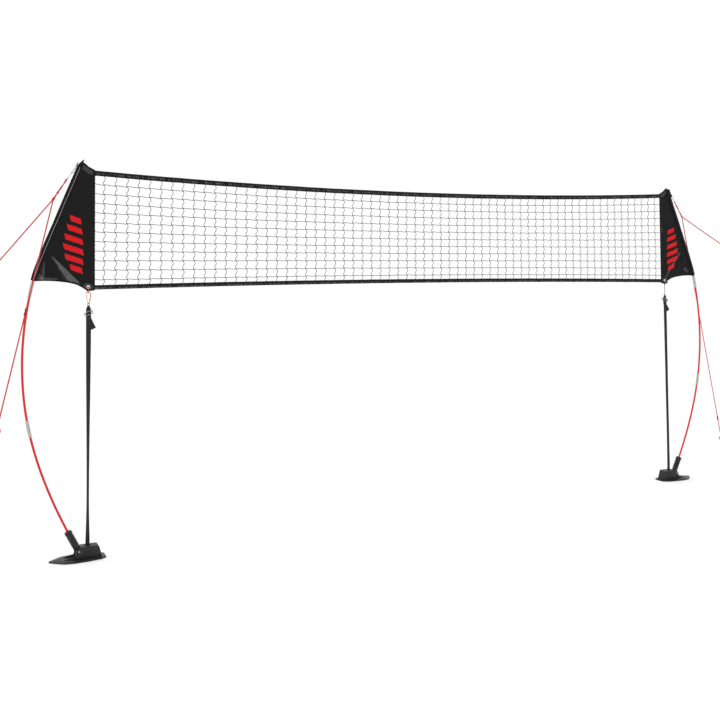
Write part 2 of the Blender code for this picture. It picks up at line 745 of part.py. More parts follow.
def buckle(side):
    """Three-bar slide: outer bars before the webbing, the middle bar behind it."""
    def bar(low, high):
        bm = box(low, high)
        tilt = Matrix.Rotation(side * BUCKLE_TILT, 4, "Y")
        place = Matrix.Translation(world(side, 0, 0, BUCKLE_H)) @ tilt
        bmesh.ops.transform(bm, matrix=place, verts=bm.verts)
        return bm

    w, i, t = BUCKLE_HALF_WIDTH, BUCKLE_INNER, BUCKLE_HALF_HEIGHT
    rail_left = bar((-w, -BUCKLE_FAR, -t), (-i, BUCKLE_FAR, t))
    rail_right = bar((i, -BUCKLE_FAR, -t), (w, BUCKLE_FAR, t))
    overlap = i + 0.6 * MM
    top = bar((-overlap, -BUCKLE_FAR + 0.2 * MM, t - BUCKLE_BAR), (overlap, -BUCKLE_NEAR, t - 0.2 * MM))
    bottom = bar((-overlap, -BUCKLE_FAR + 0.2 * MM, -t + 0.2 * MM), (overlap, -BUCKLE_NEAR, BUCKLE_BAR - t))
    middle = bar((-overlap, BUCKLE_NEAR, -1.5 * MM), (overlap, BUCKLE_FAR - 0.2 * MM, 1.5 * MM))
    return combined(rail_left, ("UNION", top), ("UNION", bottom), ("UNION", middle),
                    ("UNION", rail_right))


# ---- guy lines ------------------------------------------------------------
TAB_INNER = SLEEVE_HALF_WIDTH + 1.2 * MM
TAB_OUTER = TAB_INNER + 2.6 * MM
CLIP_SCALE = 0.70
CLIP_EYE = (0.0780, 1.5205)
CLIP_NOSE = (0.0565, 1.5500)


def clip_frame(side):
    """The small clip hangs at right angles to the net, its nose in the tab's loop."""
    eye = world(side, CLIP_EYE[0], 0, CLIP_EYE[1])
    nose = world(side, CLIP_NOSE[0], 0, CLIP_NOSE[1])
    across, along = hook_axes(nose - eye, math.pi / 2, side)
    return eye, across, along, CLIP_SCALE


def guy_tab(side):
    """Webbing tab folded down the sleeve's outer edge, looped round the clip's nose."""
    toward = Vector((CLIP_NOSE[0] - CLIP_EYE[0], 0, CLIP_NOSE[1] - CLIP_EYE[1])).normalized()
    centre = Vector((CLIP_EYE[0], 0, CLIP_EYE[1])) + toward * (51.6 * CLIP_SCALE * MM)
    _, tangent = pole_at(centre.z)
    outward = Vector((tangent.z, 0, -tangent.x))
    ring = 3.4 * MM
    path = [beside_pole(1.584, TAB_INNER), beside_pole(1.571, TAB_INNER), beside_pole(1.559, TAB_INNER + 0.4 * MM)]
    widths = [10, 10, 8]
    for angle in (-10, 35, 80, 125, 170, 205):
        a = math.radians(angle)
        path.append(centre - outward * (ring * math.cos(a)) - tangent * (ring * math.sin(a)))
        widths.append(5.6)
    path += [beside_pole(1.563, TAB_OUTER + 1.2 * MM), beside_pole(1.573, TAB_OUTER),
             beside_pole(1.584, TAB_OUTER)]
    widths += [8, 10, 10]
    points = [world(side, p.x, 0, p.z) for p in path]
    return ribbon(points, [w * MM for w in widths], 1.2 * MM, [Vector((0, 1, 0))] * len(points))


def bridle(side):
    """Doubled cord from the clip's eye to the knot that gathers the guy lines."""
    eye = world(side, CLIP_EYE[0], 0, CLIP_EYE[1])
    knot = world(side, KNOT[0], 0, KNOT[1])
    direction = (knot - eye).normalized()
    start = eye + direction * (HOOK_EYE_RADIUS * CLIP_SCALE * MM + 1.3 * MM)
    length = (knot - start).length
    small = BRIDLE_KNOT_AT[side] * length
    stations = [(0.0, BRIDLE_RADIUS), (small - 6 * MM, BRIDLE_RADIUS), (small - 3 * MM, 3.8 * MM),
                (small, 4.2 * MM), (small + 3 * MM, 3.8 * MM), (small + 6 * MM, BRIDLE_RADIUS),
                (length - 9 * MM, BRIDLE_RADIUS)]
    for angle in (-55, -30, 0, 30, 60):
        a = math.radians(angle)
        stations.append((length + KNOT_RADIUS * math.sin(a), KNOT_RADIUS * math.cos(a)))
    points = [start + direction * along for along, radius in stations]
    return swept_rod(points, [radius for along, radius in stations], count=8)


def guy_direction(side, which):
    out, depth = GUY_LINES[(side, which)]["run"]
    return Vector((side * out, depth, -KNOT[1])).normalized()


def guy_frame(side, which):
    """Start beside the knot, unit direction and a sideways direction for the loop."""
    direction = guy_direction(side, which)
    start = world(side, KNOT[0], 0, KNOT[1]) + direction * (KNOT_RADIUS + 0.4 * MM)
    sideways = direction.cross(Vector((0, 0, 1))).normalized()
    return start, direction, sideways


def guy_points(side, which):
    """Centre line of a taut guy line, ending in a tied loop."""
    start, direction, sideways = guy_frame(side, which)
    straight = GUY_LINES[(side, which)]["length"]
    steps = min(46, max(16, round(straight / (10 * GUY_RADIUS))))
    points = [start + direction * (straight * k / steps) for k in range(steps + 1)]
    centre = points[-1] + direction * GUY_LOOP_RADIUS * 1.35
    for angle in range(200, 515, 24):
        a = math.radians(angle)
        reach = GUY_LOOP_RADIUS * (1.0 if math.cos(a) > -0.5 else 1.08)
        points.append(centre + direction * (reach * math.cos(a)) + sideways * (reach * math.sin(a)))
    return points


def guy_line(side, which, name, material, parent):
    """A guy line is a curve with a round bevel and filled caps."""
    curve = bpy.data.curves.new(name, "CURVE")
    curve.dimensions = "3D"
    curve.bevel_depth = GUY_RADIUS
    curve.bevel_resolution = 2
    curve.use_fill_caps = True
    curve.render_resolution_u = 0
    points = guy_points(side, which)
    start = points[0]
    poly = curve.splines.new("POLY")
    poly.points.add(len(points) - 1)
    for slot, point in zip(poly.points, points):
        slot.co = (*(point - start), 1.0)
    curve.materials.append(material)
    obj = bpy.data.objects.new(name, curve)
    bpy.context.scene.collection.objects.link(obj)
    obj.parent = parent
    obj.location = start
    return obj


def runner_centre(side, which):
    start, direction, _ = guy_frame(side, which)
    return start + direction * GUY_LINES[(side, which)]["runner"]


def runner(side, which):
    """Moulded line adjuster, a rounded barrel that slides on its guy line."""
    half = RUNNER_LENGTH / 2
    bore = GUY_RADIUS + 0.7 * MM
    profile = [(bore, -half), (4.0 * MM, -half), (5.0 * MM, -half + 2 * MM), (4.2 * MM, 0.0),
               (5.0 * MM, half - 2 * MM), (4.0 * MM, half), (bore, half)]
    return turned(profile, runner_centre(side, which), guy_direction(side, which), count=10)


# ---- assembly -------------------------------------------------------------
def make_empty(name, location, parent=None):
    empty = bpy.data.objects.new(name, None)
    bpy.context.scene.collection.objects.link(empty)
    empty.parent = parent
    empty.location = location
    bpy.context.view_layer.update()
    return empty


def build_end(label, side, root, mats):
    """All the pieces at one end of the net."""
    pivot = world(side, PIVOT[0], 0, PIVOT[1])
    base = make_empty(f"{label}_base_joint", pivot, root)
    start = world(side, 0, 0, 0)

    def add(name, bm, material, origin=start, parent=root):
        return finish_object(f"{label}_{name}", bm, origin, mats[material], parent)

    add("base", base_shell(side), "moulding", pivot, base)
    add("pivot_bolt", pivot_bolt(side), "steel", pivot, base)
    add("strap_anchor_pin", anchor_pin(side), "steel", pivot, base)
    add("strap_end_loop", strap_end_loop(side), "webbing", pivot, base)
    add("pole_boot", boot(side), "moulding", pivot)
    for which in ("lower", "middle", "upper"):
        add(f"pole_{which}", pole_section(side, which), "fibreglass")
    for which in ("lower", "upper"):
        add(f"ferrule_{which}", ferrule(side, which), "steel")
    add("shock_cord", shock_cord(side), "elastic")
    add("pole_sleeve", pole_sleeve(side), "fabric")
    add("end_panel", end_panel(side), "fabric")
    add("grommet", grommet(side), "steel")
    add("hook_link", hook_link(side), "steel")
    hook = strap_hook_frame(side)
    add("strap_hook", hook_body(*hook), "steel", hook[0])
    add("strap_hook_gate", hook_gate(*hook), "steel", gate_hinge(*hook))
    add("strap", strap(side), "webbing")
    buckle_centre = world(side, 0, 0, BUCKLE_H)
    add("strap_buckle", buckle(side), "steel", buckle_centre)
    add("strap_tail", strap_tail(side), "webbing", buckle_centre)
    add("guy_tab", guy_tab(side), "webbing")
    clip = clip_frame(side)
    add("guy_clip", hook_body(*clip), "steel", clip[0])
    add("guy_clip_gate", hook_gate(*clip), "steel", gate_hinge(*clip))
    add("guy_bridle", bridle(side), "cord")
    for which in ("front", "back"):
        guy_line(side, which, f"{label}_guy_{which}", mats["cord"], root)
        add(f"runner_{which}", runner(side, which), "runner", runner_centre(side, which))


def main():
    for obj in list(bpy.data.objects):
        bpy.data.objects.remove(obj)
    mats = make_materials()
    root = make_empty("net_frame", (0, 0, 0))
    origin = Vector((0, 0, 0))
    finish_object("top_tape", tape(TOP_TAPE_END_Z, TOP_TAPE_MID_Z, TOP_TAPE_HEIGHT),
                  origin, mats["webbing"], root)
    finish_object("bottom_tape", tape(BOTTOM_TAPE_END_Z, BOTTOM_TAPE_MID_Z, BOTTOM_TAPE_HEIGHT),
                  origin, mats["webbing"], root)
    finish_object("net_mesh", net_mesh(), origin, mats["twine"], root, smooth=False)
    for label, side in SIDES.items():
        build_end(label, side, root, mats)
    bpy.context.view_layer.update()


main()
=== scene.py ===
"""Looks of the portable badminton net: net, fabric, webbing, cords, poles and fittings.

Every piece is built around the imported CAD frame, in metres.  Each end is described as in
the CAD by (s, y, h): s runs outward from that end's strap line, y is depth, h is height.
"""
import math
import random

import bmesh
import bpy
from mathutils import Matrix, Vector, noise

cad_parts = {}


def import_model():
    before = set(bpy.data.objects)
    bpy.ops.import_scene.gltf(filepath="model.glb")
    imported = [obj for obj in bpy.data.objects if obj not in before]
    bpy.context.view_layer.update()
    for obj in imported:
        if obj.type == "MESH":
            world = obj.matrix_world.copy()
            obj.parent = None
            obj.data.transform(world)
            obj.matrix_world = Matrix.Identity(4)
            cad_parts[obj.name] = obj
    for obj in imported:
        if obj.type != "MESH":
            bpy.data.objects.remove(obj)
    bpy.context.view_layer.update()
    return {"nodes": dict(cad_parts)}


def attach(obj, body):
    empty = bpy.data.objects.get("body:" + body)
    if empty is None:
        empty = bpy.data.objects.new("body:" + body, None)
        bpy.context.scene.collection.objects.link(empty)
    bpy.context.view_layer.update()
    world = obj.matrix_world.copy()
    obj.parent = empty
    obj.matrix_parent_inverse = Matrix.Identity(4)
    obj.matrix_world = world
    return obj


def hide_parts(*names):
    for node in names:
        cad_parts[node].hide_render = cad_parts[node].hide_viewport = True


MM = 0.001
X_AXIS, Y_AXIS, Z_AXIS = Vector((1, 0, 0)), Vector((0, 1, 0)), Vector((0, 0, 1))
SIDES = {"left": -1, "right": 1}
ROOT = "net_frame"

# ---- dimensions shared with the CAD -----------------------------------------
HALF_SPAN = 1.525
TOP_TAPE_END_Z, TOP_TAPE_MID_Z, TOP_TAPE_HEIGHT = 1.560, 1.5205, 0.021
BOTTOM_TAPE_END_Z, BOTTOM_TAPE_MID_Z, BOTTOM_TAPE_HEIGHT = 1.0965, 1.1095, 0.018
SEAM_TOP, SEAM_BOTTOM = (-0.029, 1.562), (-0.0225, 1.076)
PIVOT = (0.050, 0.034)
BOOT_TILT = math.radians(26.5)
POLE_LINE = [(0.0647, 0.0635), (0.0906, 0.1154), (0.149, 0.25), (0.2005, 0.40), (0.2355, 0.55),
             (0.252, 0.70), (0.2515, 0.85), (0.234, 1.00), (0.1995, 1.15), (0.1205, 1.35),
             (0.0245, 1.581)]
POLE_RADIUS = 4.75 * MM
FERRULE_RADIUS, FERRULE_LENGTH = 6.8 * MM, 66 * MM
JOINT_GAP = 0.3 * MM                 # half the gap between two pole lengths
FERRULE_HEIGHTS = {"lower": 0.536, "upper": 1.081}
SLEEVE_BOTTOM_Z, SLEEVE_TOP_Z = 1.118, 1.590
SLEEVE_HALF_WIDTH, SLEEVE_HALF_DEPTH = 10.5 * MM, 7.5 * MM
GROMMET = (0.0, 1.0897)
STRAP_FOOT = (0.014, 0.0525)
STRAP_WIDTH = 20 * MM
HOOK_EYE_H = 1.0165
BUCKLE_H = 0.984
BUCKLE_TILT = math.radians(20)
STRAP_TWIST = {-1: math.radians(56), 1: math.radians(11)}
STRAP_FOOT_TWIST = {-1: math.radians(24), 1: math.radians(5)}
HOOK_TURN = {-1: 0.0, 1: math.radians(42)}
TIP_STRETCH = {-1: 1.45, 1: 0.8}
TAIL_SWING = {-1: math.radians(25), 1: math.radians(36)}
CLIP_EYE, CLIP_NOSE, CLIP_SCALE = (0.0780, 1.5205), (0.0565, 1.5500), 0.70
KNOT = (0.1305, 1.440)
KNOT_RADIUS = 6 * MM
BRIDLE_KNOT_AT = {-1: 0.66, 1: 0.16}
GUY_RADIUS = 1.6 * MM
GUY_BRAID_RADIUS = 2.4 * MM          # the soft braid stands proud of its core
GUY_LOOP_RADIUS = 13 * MM
GUY_LINES = {
    (-1, "front"): dict(run=(0.416, -0.75), length=0.955, runner=0.505),
    (-1, "back"): dict(run=(1.152, 0.90), length=0.395, runner=0.365),
    (1, "front"): dict(run=(1.578, -1.05), length=0.300, runner=0.270),
    (1, "back"): dict(run=(0.869, 0.54), length=1.660, runner=1.500),
}
PLATE_HALF_OUTLINE = [(-0.055, 0.028), (-0.036, 0.043), (0.020, 0.055), (0.075, 0.058),
                      (0.112, 0.050), (0.163, 0.004)]
PLATE_CENTRE = Vector((0.045, 0.0))
HOUSING_HALF_WIDTH = 24.5 * MM
ANCHOR_PIN = (0.014, 0.024)

# ---- camera -----------------------------------------------------------------
CAMERA_PLACE = (-2.0744, -3.7485, 1.0952)
CAMERA_YAW = 0.43878
CAMERA_ROLL = -0.01086
CAMERA_LENS = 45.0
CAMERA_SHIFT_Y = -0.1075

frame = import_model()
random.seed(7)


# ---- paths ------------------------------------------------------------------
def world(side, s, y, h):
    return Vector((side * (HALF_SPAN + s), y, h))


def in_plane(side, pair, y=0.0):
    """World point of an (s, h) pair at depth y."""
    return world(side, pair[0], y, pair[1])


def on_pole(side, point, y=0.0):
    """World point of an (s, 0, h) point at depth y."""
    return world(side, point.x, y, point.z)


def circle(count):
    """Angles of equal steps round a full turn."""
    return [2 * math.pi * k / count for k in range(count)]


def in_mm(pairs, scale=1.0):
    """Pairs given in millimetres, in metres."""
    return [(a * scale * MM, b * scale * MM) for a, b in pairs]


def clamp(value):
    return max(0.0, min(1.0, value))


def spline(points, per_span=8):
    """Points along a centripetal Catmull-Rom curve through the given ones."""
    pts = [Vector(p) for p in points]
    pts = [2 * pts[0] - pts[1]] + pts + [2 * pts[-1] - pts[-2]]
    out = []
    for a, b, c, d in zip(pts, pts[1:], pts[2:], pts[3:]):
        t1 = (b - a).length ** 0.5
        t2 = t1 + (c - b).length ** 0.5
        t3 = t2 + (d - c).length ** 0.5
        for k in range(per_span):
            t = t1 + (t2 - t1) * k / per_span
            ab = a.lerp(b, t / t1)
            bc = b.lerp(c, (t - t1) / (t2 - t1))
            cd = c.lerp(d, (t - t2) / (t3 - t2))
            abc = ab.lerp(bc, t / t2)
            bcd = bc.lerp(cd, (t - t1) / (t3 - t1))
            out.append(abc.lerp(bcd, (t - t1) / (t2 - t1)))
    out.append(pts[-2].copy())
    return out


POLE_CURVE = spline([(s, 0.0, h) for s, h in POLE_LINE], per_span=24)


def pole_at(h):
    """Centre line of the pole at a height: point and unit tangent, as (s, 0, h)."""
    for a, b in zip(POLE_CURVE, POLE_CURVE[1:]):
        if a.z <= h <= b.z:
            return a.lerp(b, (h - a.z) / (b.z - a.z)), (b - a).normalized()
    end, near = ((POLE_CURVE[0], POLE_CURVE[1]) if h < POLE_CURVE[0].z
                 else (POLE_CURVE[-1], POLE_CURVE[-2]))
    tangent = ((near - end) if h < end.z else (end - near)).normalized()
    return end + tangent * ((h - end.z) / tangent.z), tangent


def beside_pole(h, offset):
    point, tangent = pole_at(h)
    return point + Vector((tangent.z, 0.0, -tangent.x)) * offset


def steps(low, high, count):
    return [low + (high - low) * k / count for k in range(count + 1)]


def pole_path(side, low, high, count):
    return [on_pole(side, pole_at(h)[0]) for h in steps(low, high, count)]


def sag(x, end_z, mid_z):
    return mid_z + (end_z - mid_z) * (x / (HALF_SPAN + SEAM_TOP[0])) ** 2


def seam_s(h):
    share = (h - SEAM_BOTTOM[1]) / (SEAM_TOP[1] - SEAM_BOTTOM[1])
    return SEAM_BOTTOM[0] + (SEAM_TOP[0] - SEAM_BOTTOM[0]) * share


def tangents(points, closed=False):
    out = []
    last = len(points) - 1
    for k in range(len(points)):
        if closed:
            step = points[(k + 1) % len(points)] - points[k - 1]
        else:
            step = points[min(k + 1, last)] - points[max(k - 1, 0)]
        out.append(step.normalized())
    return out


# ---- mesh building ----------------------------------------------------------
class Builder:
    """Collects vertices, faces and UVs of one piece; several shapes can be added."""

    def __init__(self):
        self.verts, self.faces, self.uvs = [], [], []

    def sweep(self, rings, closed=False):
        """Join rings of points; u is the length along, v the distance around."""
        first = len(self.verts)
        count = len(rings[0])
        for ring in rings:
            self.verts.extend(tuple(p) for p in ring)
        along = [0.0]
        for a, b in zip(rings, rings[1:] + rings[:1]):
            along.append(along[-1] + (b[0] - a[0]).length)
        around = [0.0]
        middle = rings[len(rings) // 2]
        for a, b in zip(middle, middle[1:] + middle[:1]):
            around.append(around[-1] + (b - a).length)
        spans = len(rings) if closed else len(rings) - 1
        for i in range(spans):
            low, high = first + i * count, first + (i + 1) % len(rings) * count
            for k in range(count):
                n = (k + 1) % count
                self.faces.append((low + k, low + n, high + n, high + k))
                self.uvs.append([(along[i], around[k]), (along[i], around[k + 1]),
                                 (along[i + 1], around[k + 1]), (along[i + 1], around[k])])
        if not closed:
            for start in (first, first + (len(rings) - 1) * count):
                self.faces.append(tuple(range(start, start + count)))
                self.uvs.append([(0.0, 0.0)] * count)
        return self

    def tube(self, points, radii, sides=12, half_b=None, reference=(0, 1, 0),
             closed=False):
        """A round or oval rod; half_b is its half size along the reference."""
        if not hasattr(radii, "__len__"):
            radii = [radii] * len(points)
        rings = []
        across = None
        for k, (point, tangent) in enumerate(zip(points, tangents(points, closed))):
            if across is None or half_b is not None:
                across = Vector(reference).cross(tangent)
                if across.length < 1e-3:
                    across = Vector((1, 0.3, 0.2)).cross(tangent)
            across = (across - tangent * across.dot(tangent)).normalized()
            up = tangent.cross(across)
            a = radii[k]
            b = a if half_b is None else half_b * radii[k] / radii[0]
            rings.append([point + across * (a * math.cos(t)) + up * (b * math.sin(t))
                          for t in circle(sides)])
        return self.sweep(rings, closed)

    def ribbon(self, points, widths, thickness, directions, crown=0.0):
        """Webbing: a flat strip with rounded edges and its own width at each point."""
        rings = []
        columns = 6
        for point, tangent, width, across in zip(points, tangents(points), widths, directions):
            across = (across - tangent * across.dot(tangent)).normalized()
            normal = tangent.cross(across).normalized()
            half = width / 2
            t = thickness / 2
            ring = []
            for sign in (1, -1):
                for k in range(columns + 1):
                    x = sign * (half - 0.35 * t) * (1 - 2 * k / columns)
                    bulge = crown * (1 - (x / half) ** 2)
                    ring.append(point + across * x + normal * (sign * t + bulge))
                ring.append(point - across * (sign * half))
            rings.append(ring)
        return self.sweep(rings)

    def webbing(self, points, crown=0.0):
        """Strap webbing at its full width, lying across the net's length."""
        count = len(points)
        return self.ribbon(points, [STRAP_WIDTH] * count, STRAP_THICKNESS, [X_AXIS] * count,
                           crown)

    def lathe(self, profile, centre, axis, sides=32, closed_profile=True):
        """Turn (radius, along) pairs about an axis."""
        axis = Vector(axis).normalized()
        side_a = axis.orthogonal().normalized()
        side_b = axis.cross(side_a)
        rings = []
        for t in circle(sides):
            out = side_a * math.cos(t) + side_b * math.sin(t)
            rings.append([Vector(centre) + axis * along + out * radius
                          for radius, along in profile])
        if closed_profile:
            return self.sweep(rings, closed=True)
        first = len(self.verts)
        count = len(profile)
        for ring in rings:
            self.verts.extend(tuple(p) for p in ring)
        for k in range(sides):
            n = (k + 1) % sides
            for j in range(count - 1):
                here, across = first + k * count + j, first + n * count + j
                self.faces.append((here, across, across + 1, here + 1))
                turn = k / sides
                self.uvs.append([(turn, j), (turn, j), (turn, j + 1), (turn, j + 1)])
        for j in (0, count - 1):
            self.faces.append(tuple(first + k * count + j for k in range(sides)))
            self.uvs.append([(0.0, 0.0)] * sides)
        return self

    def object(self, name, material, smooth=40.0):
        mesh = bpy.data.meshes.new(name)
        mesh.from_pydata(self.verts, [], self.faces)
        layer = mesh.uv_layers.new(name="UVMap")
        flat = [c for face in self.uvs for uv in face for c in uv]
        layer.data.foreach_set("uv", flat)
        mesh.materials.append(material)
        bm = bmesh.new()
        bm.from_mesh(mesh)
        bmesh.ops.recalc_face_normals(bm, faces=bm.faces)
        bm.to_mesh(mesh)
        bm.free()
        mesh.shade_smooth()
        if smooth:
            mesh.set_sharp_from_angle(angle=math.radians(smooth))
        return linked(name, mesh)

    def piece(self, name, finish, body, nodes=(), slot=None, smooth=40.0):
        """Make the object in one of the finishes and attach it."""
        return place(self.object(name, MATS[finish], smooth), body, nodes)


def linked(name, data):
    obj = bpy.data.objects.new(name, data)
    bpy.context.scene.collection.objects.link(obj)
    return obj


def place(obj, body, nodes=()):
    """Attach a piece to its CAD body and hide the nodes it stands for."""
    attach(obj, body)
    if nodes:
        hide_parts(*([nodes] if isinstance(nodes, str) else nodes))
    return obj


# ---- materials --------------------------------------------------------------
class Shader:
    """A small wrapper that keeps node set-up readable."""

    def __init__(self, name, colour, roughness, metallic=0.0, **sockets):
        self.material = bpy.data.materials.new(name)
        self.material.use_nodes = True
        self.tree = self.material.node_tree
        self.bsdf = self.tree.nodes["Principled BSDF"]
        self.set("Base Color", (*colour, 1.0))
        self.set("Roughness", roughness)
        self.set("Metallic", metallic)
        for key, value in sockets.items():
            self.set(key.replace("_", " ").title().replace("Ior", "IOR"), value)

    def set(self, socket, value):
        self.bsdf.inputs[socket].default_value = value

    def node(self, kind, links=(), **values):
        made = self.tree.nodes.new("ShaderNode" + kind)
        for key, value in values.items():
            if hasattr(made, key):
                setattr(made, key, value)
            else:
                made.inputs[key.replace("_", " ").title()].default_value = value
        for socket, source in dict(links).items():
            self.tree.links.new(source, made.inputs[socket])
        return made

    def link(self, source, socket):
        self.tree.links.new(source, self.bsdf.inputs[socket])

    def math(self, operation, a, b=None):
        made = self.tree.nodes.new("ShaderNodeMath")
        made.operation = operation
        for k, value in enumerate((a, b)):
            if value is None:
                continue
            if isinstance(value, (int, float)):
                made.inputs[k].default_value = value
            else:
                self.tree.links.new(value, made.inputs[k])
        return made.outputs[0]

    def object_coords(self):
        return self.node("TexCoord").outputs["Object"]

    def uv(self):
        """u is metres along the piece and v metres around it."""
        split = self.node("SeparateXYZ", {"Vector": self.node("TexCoord").outputs["UV"]})
        return split.outputs[0], split.outputs[1]

    def noise(self, scale, detail=3.0, vector=None):
        links = {"Vector": vector or self.object_coords()}
        return self.node("TexNoise", links, scale=scale, detail=detail).outputs["Fac"]

    def streaks(self, scales, detail):
        """Noise with its own scale along each axis."""
        stretched = self.node("Mapping", {"Vector": self.object_coords()})
        stretched.inputs["Scale"].default_value = scales
        return self.noise(1.0, detail, stretched.outputs[0])

    def mix(self, factor, a, b):
        made = self.tree.nodes.new("ShaderNodeMix")
        made.data_type = "RGBA"
        for index, value in ((0, factor), (6, a), (7, b)):
            if isinstance(value, (int, float)):
                made.inputs[index].default_value = value
            elif isinstance(value, tuple):
                made.inputs[index].default_value = (*value, 1.0)
            else:
                self.tree.links.new(value, made.inputs[index])
        return made.outputs[2]

    def ramp(self, value, low, high, out_low=0.0, out_high=1.0):
        made = self.tree.nodes.new("ShaderNodeMapRange")
        self.tree.links.new(value, made.inputs[0])
        for k, number in enumerate((low, high, out_low, out_high)):
            made.inputs[k + 1].default_value = number
        return made.outputs[0]

    def bump(self, height, strength, distance):
        made = self.tree.nodes.new("ShaderNodeBump")
        made.inputs["Strength"].default_value = strength
        made.inputs["Distance"].default_value = distance
        self.tree.links.new(height, made.inputs["Height"])
        self.link(made.outputs[0], "Normal")


def sine(shader, value, pitch):
    turned = shader.math("MULTIPLY", value, 2 * math.pi / pitch)
    return shader.math("SINE", turned)


def fabric_material():
    """Coated woven polyester; 'band' marks the grey edging and 'print' the red motif; a third
    attribute marks where a painted highlight lies along the folds.
    """
    m = Shader("panel_fabric", (0.006, 0.006, 0.0065), 0.5, specular_ior_level=0.12)
    split = m.node("SeparateXYZ", {"Vector": m.object_coords()})
    warp = sine(m, split.outputs[0], 1.3 * MM)
    weft = sine(m, split.outputs[2], 1.3 * MM)
    weave = m.math("MULTIPLY", warp, weft)
    mottled = m.noise(38.0, 4.0)
    dark = m.mix(mottled, (0.003, 0.003, 0.0033), (0.010, 0.010, 0.0103))
    band = m.node("Attribute", attribute_name="band").outputs["Fac"]
    grey = m.mix(mottled, (0.030, 0.030, 0.031), (0.058, 0.058, 0.059))
    # Painted highlight: a paler grey mixed in along the folds, where light catches the fabric.
    fold_highlight = m.node("Attribute", attribute_name="fold_highlight").outputs["Fac"]
    highlight_grey = m.mix(m.noise(160.0, 4.0), (0.085, 0.083, 0.082), (0.19, 0.187, 0.185))
    printed = m.node("Attribute", attribute_name="print").outputs["Fac"]
    red = m.mix(mottled, (0.56, 0.004, 0.008), (0.70, 0.010, 0.014))
    colour = m.mix(printed, m.mix(fold_highlight, m.mix(band, dark, grey), highlight_grey), red)
    m.link(colour, "Base Color")
    m.link(m.ramp(mottled, 0.3, 0.7, 0.50, 0.68), "Roughness")
    m.bump(m.math("ADD", m.math("MULTIPLY", weave, 0.5), mottled), 0.45, 0.35 * MM)
    return m.material


def webbing_material(name="webbing", colour=(0.005, 0.0045, 0.0045),
                     light=(0.050, 0.045, 0.045)):
    """Ribbed webbing: cross ribs with a chevron and paler thread highlights."""
    m = Shader(name, colour, 0.72, specular_ior_level=0.10)
    u, v = m.uv()
    folded = m.math("PINGPONG", v, 4.0 * MM)
    ribs = sine(m, m.math("ADD", u, folded), 1.9 * MM)
    threads = sine(m, v, 1.1 * MM)
    relief = m.math("MULTIPLY", m.math("ADD", ribs, 1.0), m.math("ADD", threads, 1.6))
    dust_and_sheen = m.noise(60.0, 4.0)
    # Painted highlight: the paler colour sits on the raised ribs and threads, broken up by noise.
    m.link(m.mix(m.math("MULTIPLY", relief, dust_and_sheen), colour, light), "Base Color")
    m.bump(relief, 0.6, 0.22 * MM)
    return m.material


def tape_material():
    """Folded tape with a woven face, a line of stitches near its edge and a painted highlight
    along the middle of its faces.
    """
    m = Shader("tape", (0.008, 0.008, 0.008), 0.65, specular_ior_level=0.10)
    u, v = m.uv()
    weave = m.math("MULTIPLY", sine(m, u, 1.4 * MM), sine(m, v, 1.4 * MM))
    dust_and_sheen = m.noise(25.0, 5.0)
    stitch = m.math("LESS_THAN", m.math("FRACT", m.math("DIVIDE", u, 5.5 * MM)), 0.62)
    from_edge = m.math("PINGPONG", v, 12 * MM)
    from_row = m.math("ABSOLUTE", m.math("SUBTRACT", from_edge, 8.0 * MM))
    thread = m.math("MULTIPLY", stitch, m.math("LESS_THAN", from_row, 0.5 * MM))
    base = m.mix(dust_and_sheen, (0.002, 0.002, 0.002), (0.009, 0.009, 0.009))
    # Painted highlight: a paler band along the middle of the tape's faces, broken up by noise.
    crown = m.ramp(from_edge, 1.0 * MM, 5.0 * MM, 1.0, 0.0)
    wear_and_highlight = m.math("MULTIPLY", crown, m.ramp(m.noise(90.0, 5.0), 0.42, 0.66))
    base = m.mix(wear_and_highlight, base, (0.115, 0.113, 0.108))
    m.link(m.mix(thread, base, (0.06, 0.06, 0.06)), "Base Color")
    m.bump(m.math("ADD", weave, m.math("MULTIPLY", thread, 3.0)), 0.5, 0.3 * MM)
    return m.material


def twine_material():
    """Twisted net twine."""
    m = Shader("twine", (0.065, 0.065, 0.065), 0.85, specular_ior_level=0.2)
    u, v = m.uv()
    twist = sine(m, m.math("ADD", u, m.math("MULTIPLY", v, 0.55)), 2.4 * MM)
    wear_and_highlight = m.noise(12.0, 3.0)
    m.link(m.mix(wear_and_highlight, (0.040, 0.040, 0.041), (0.070, 0.070, 0.071)), "Base Color")
    m.bump(twist, 0.5, 0.3 * MM)
    return m.material


def cord_material():
    """Braided red cord with paler flecks."""
    m = Shader("guy_cord", (0.60, 0.02, 0.02), 0.6, specular_ior_level=0.2)
    u, v = m.uv()
    right = sine(m, m.math("ADD", u, v), 3.6 * MM)
    left = sine(m, m.math("SUBTRACT", u, v), 3.6 * MM)
    braid = m.math("MAXIMUM", right, left)
    fleck = m.math("GREATER_THAN", m.math("MULTIPLY", right, left), 0.55)
    base = m.mix(m.ramp(braid, -0.4, 1.0), (0.36, 0.006, 0.006), (0.66, 0.022, 0.014))
    m.link(m.mix(m.math("MULTIPLY", fleck, 0.30), base, (0.82, 0.42, 0.36)), "Base Color")
    m.bump(braid, 0.7, 0.35 * MM)
    return m.material


def plastic_material():
    """Moulded black plastic with a fine spark-eroded grain and light scuffs."""
    m = Shader("moulding", (0.018, 0.018, 0.0175), 0.42, specular_ior_level=0.30)
    grain = m.noise(900.0, 2.0)
    scuff = m.noise(55.0, 6.0)
    colour = m.mix(m.ramp(scuff, 0.45, 0.75), (0.009, 0.009, 0.009), (0.034, 0.033, 0.032))
    m.link(colour, "Base Color")
    m.link(m.ramp(scuff, 0.3, 0.7, 0.30, 0.50), "Roughness")
    m.bump(grain, 0.25, 0.15 * MM)
    return m.material


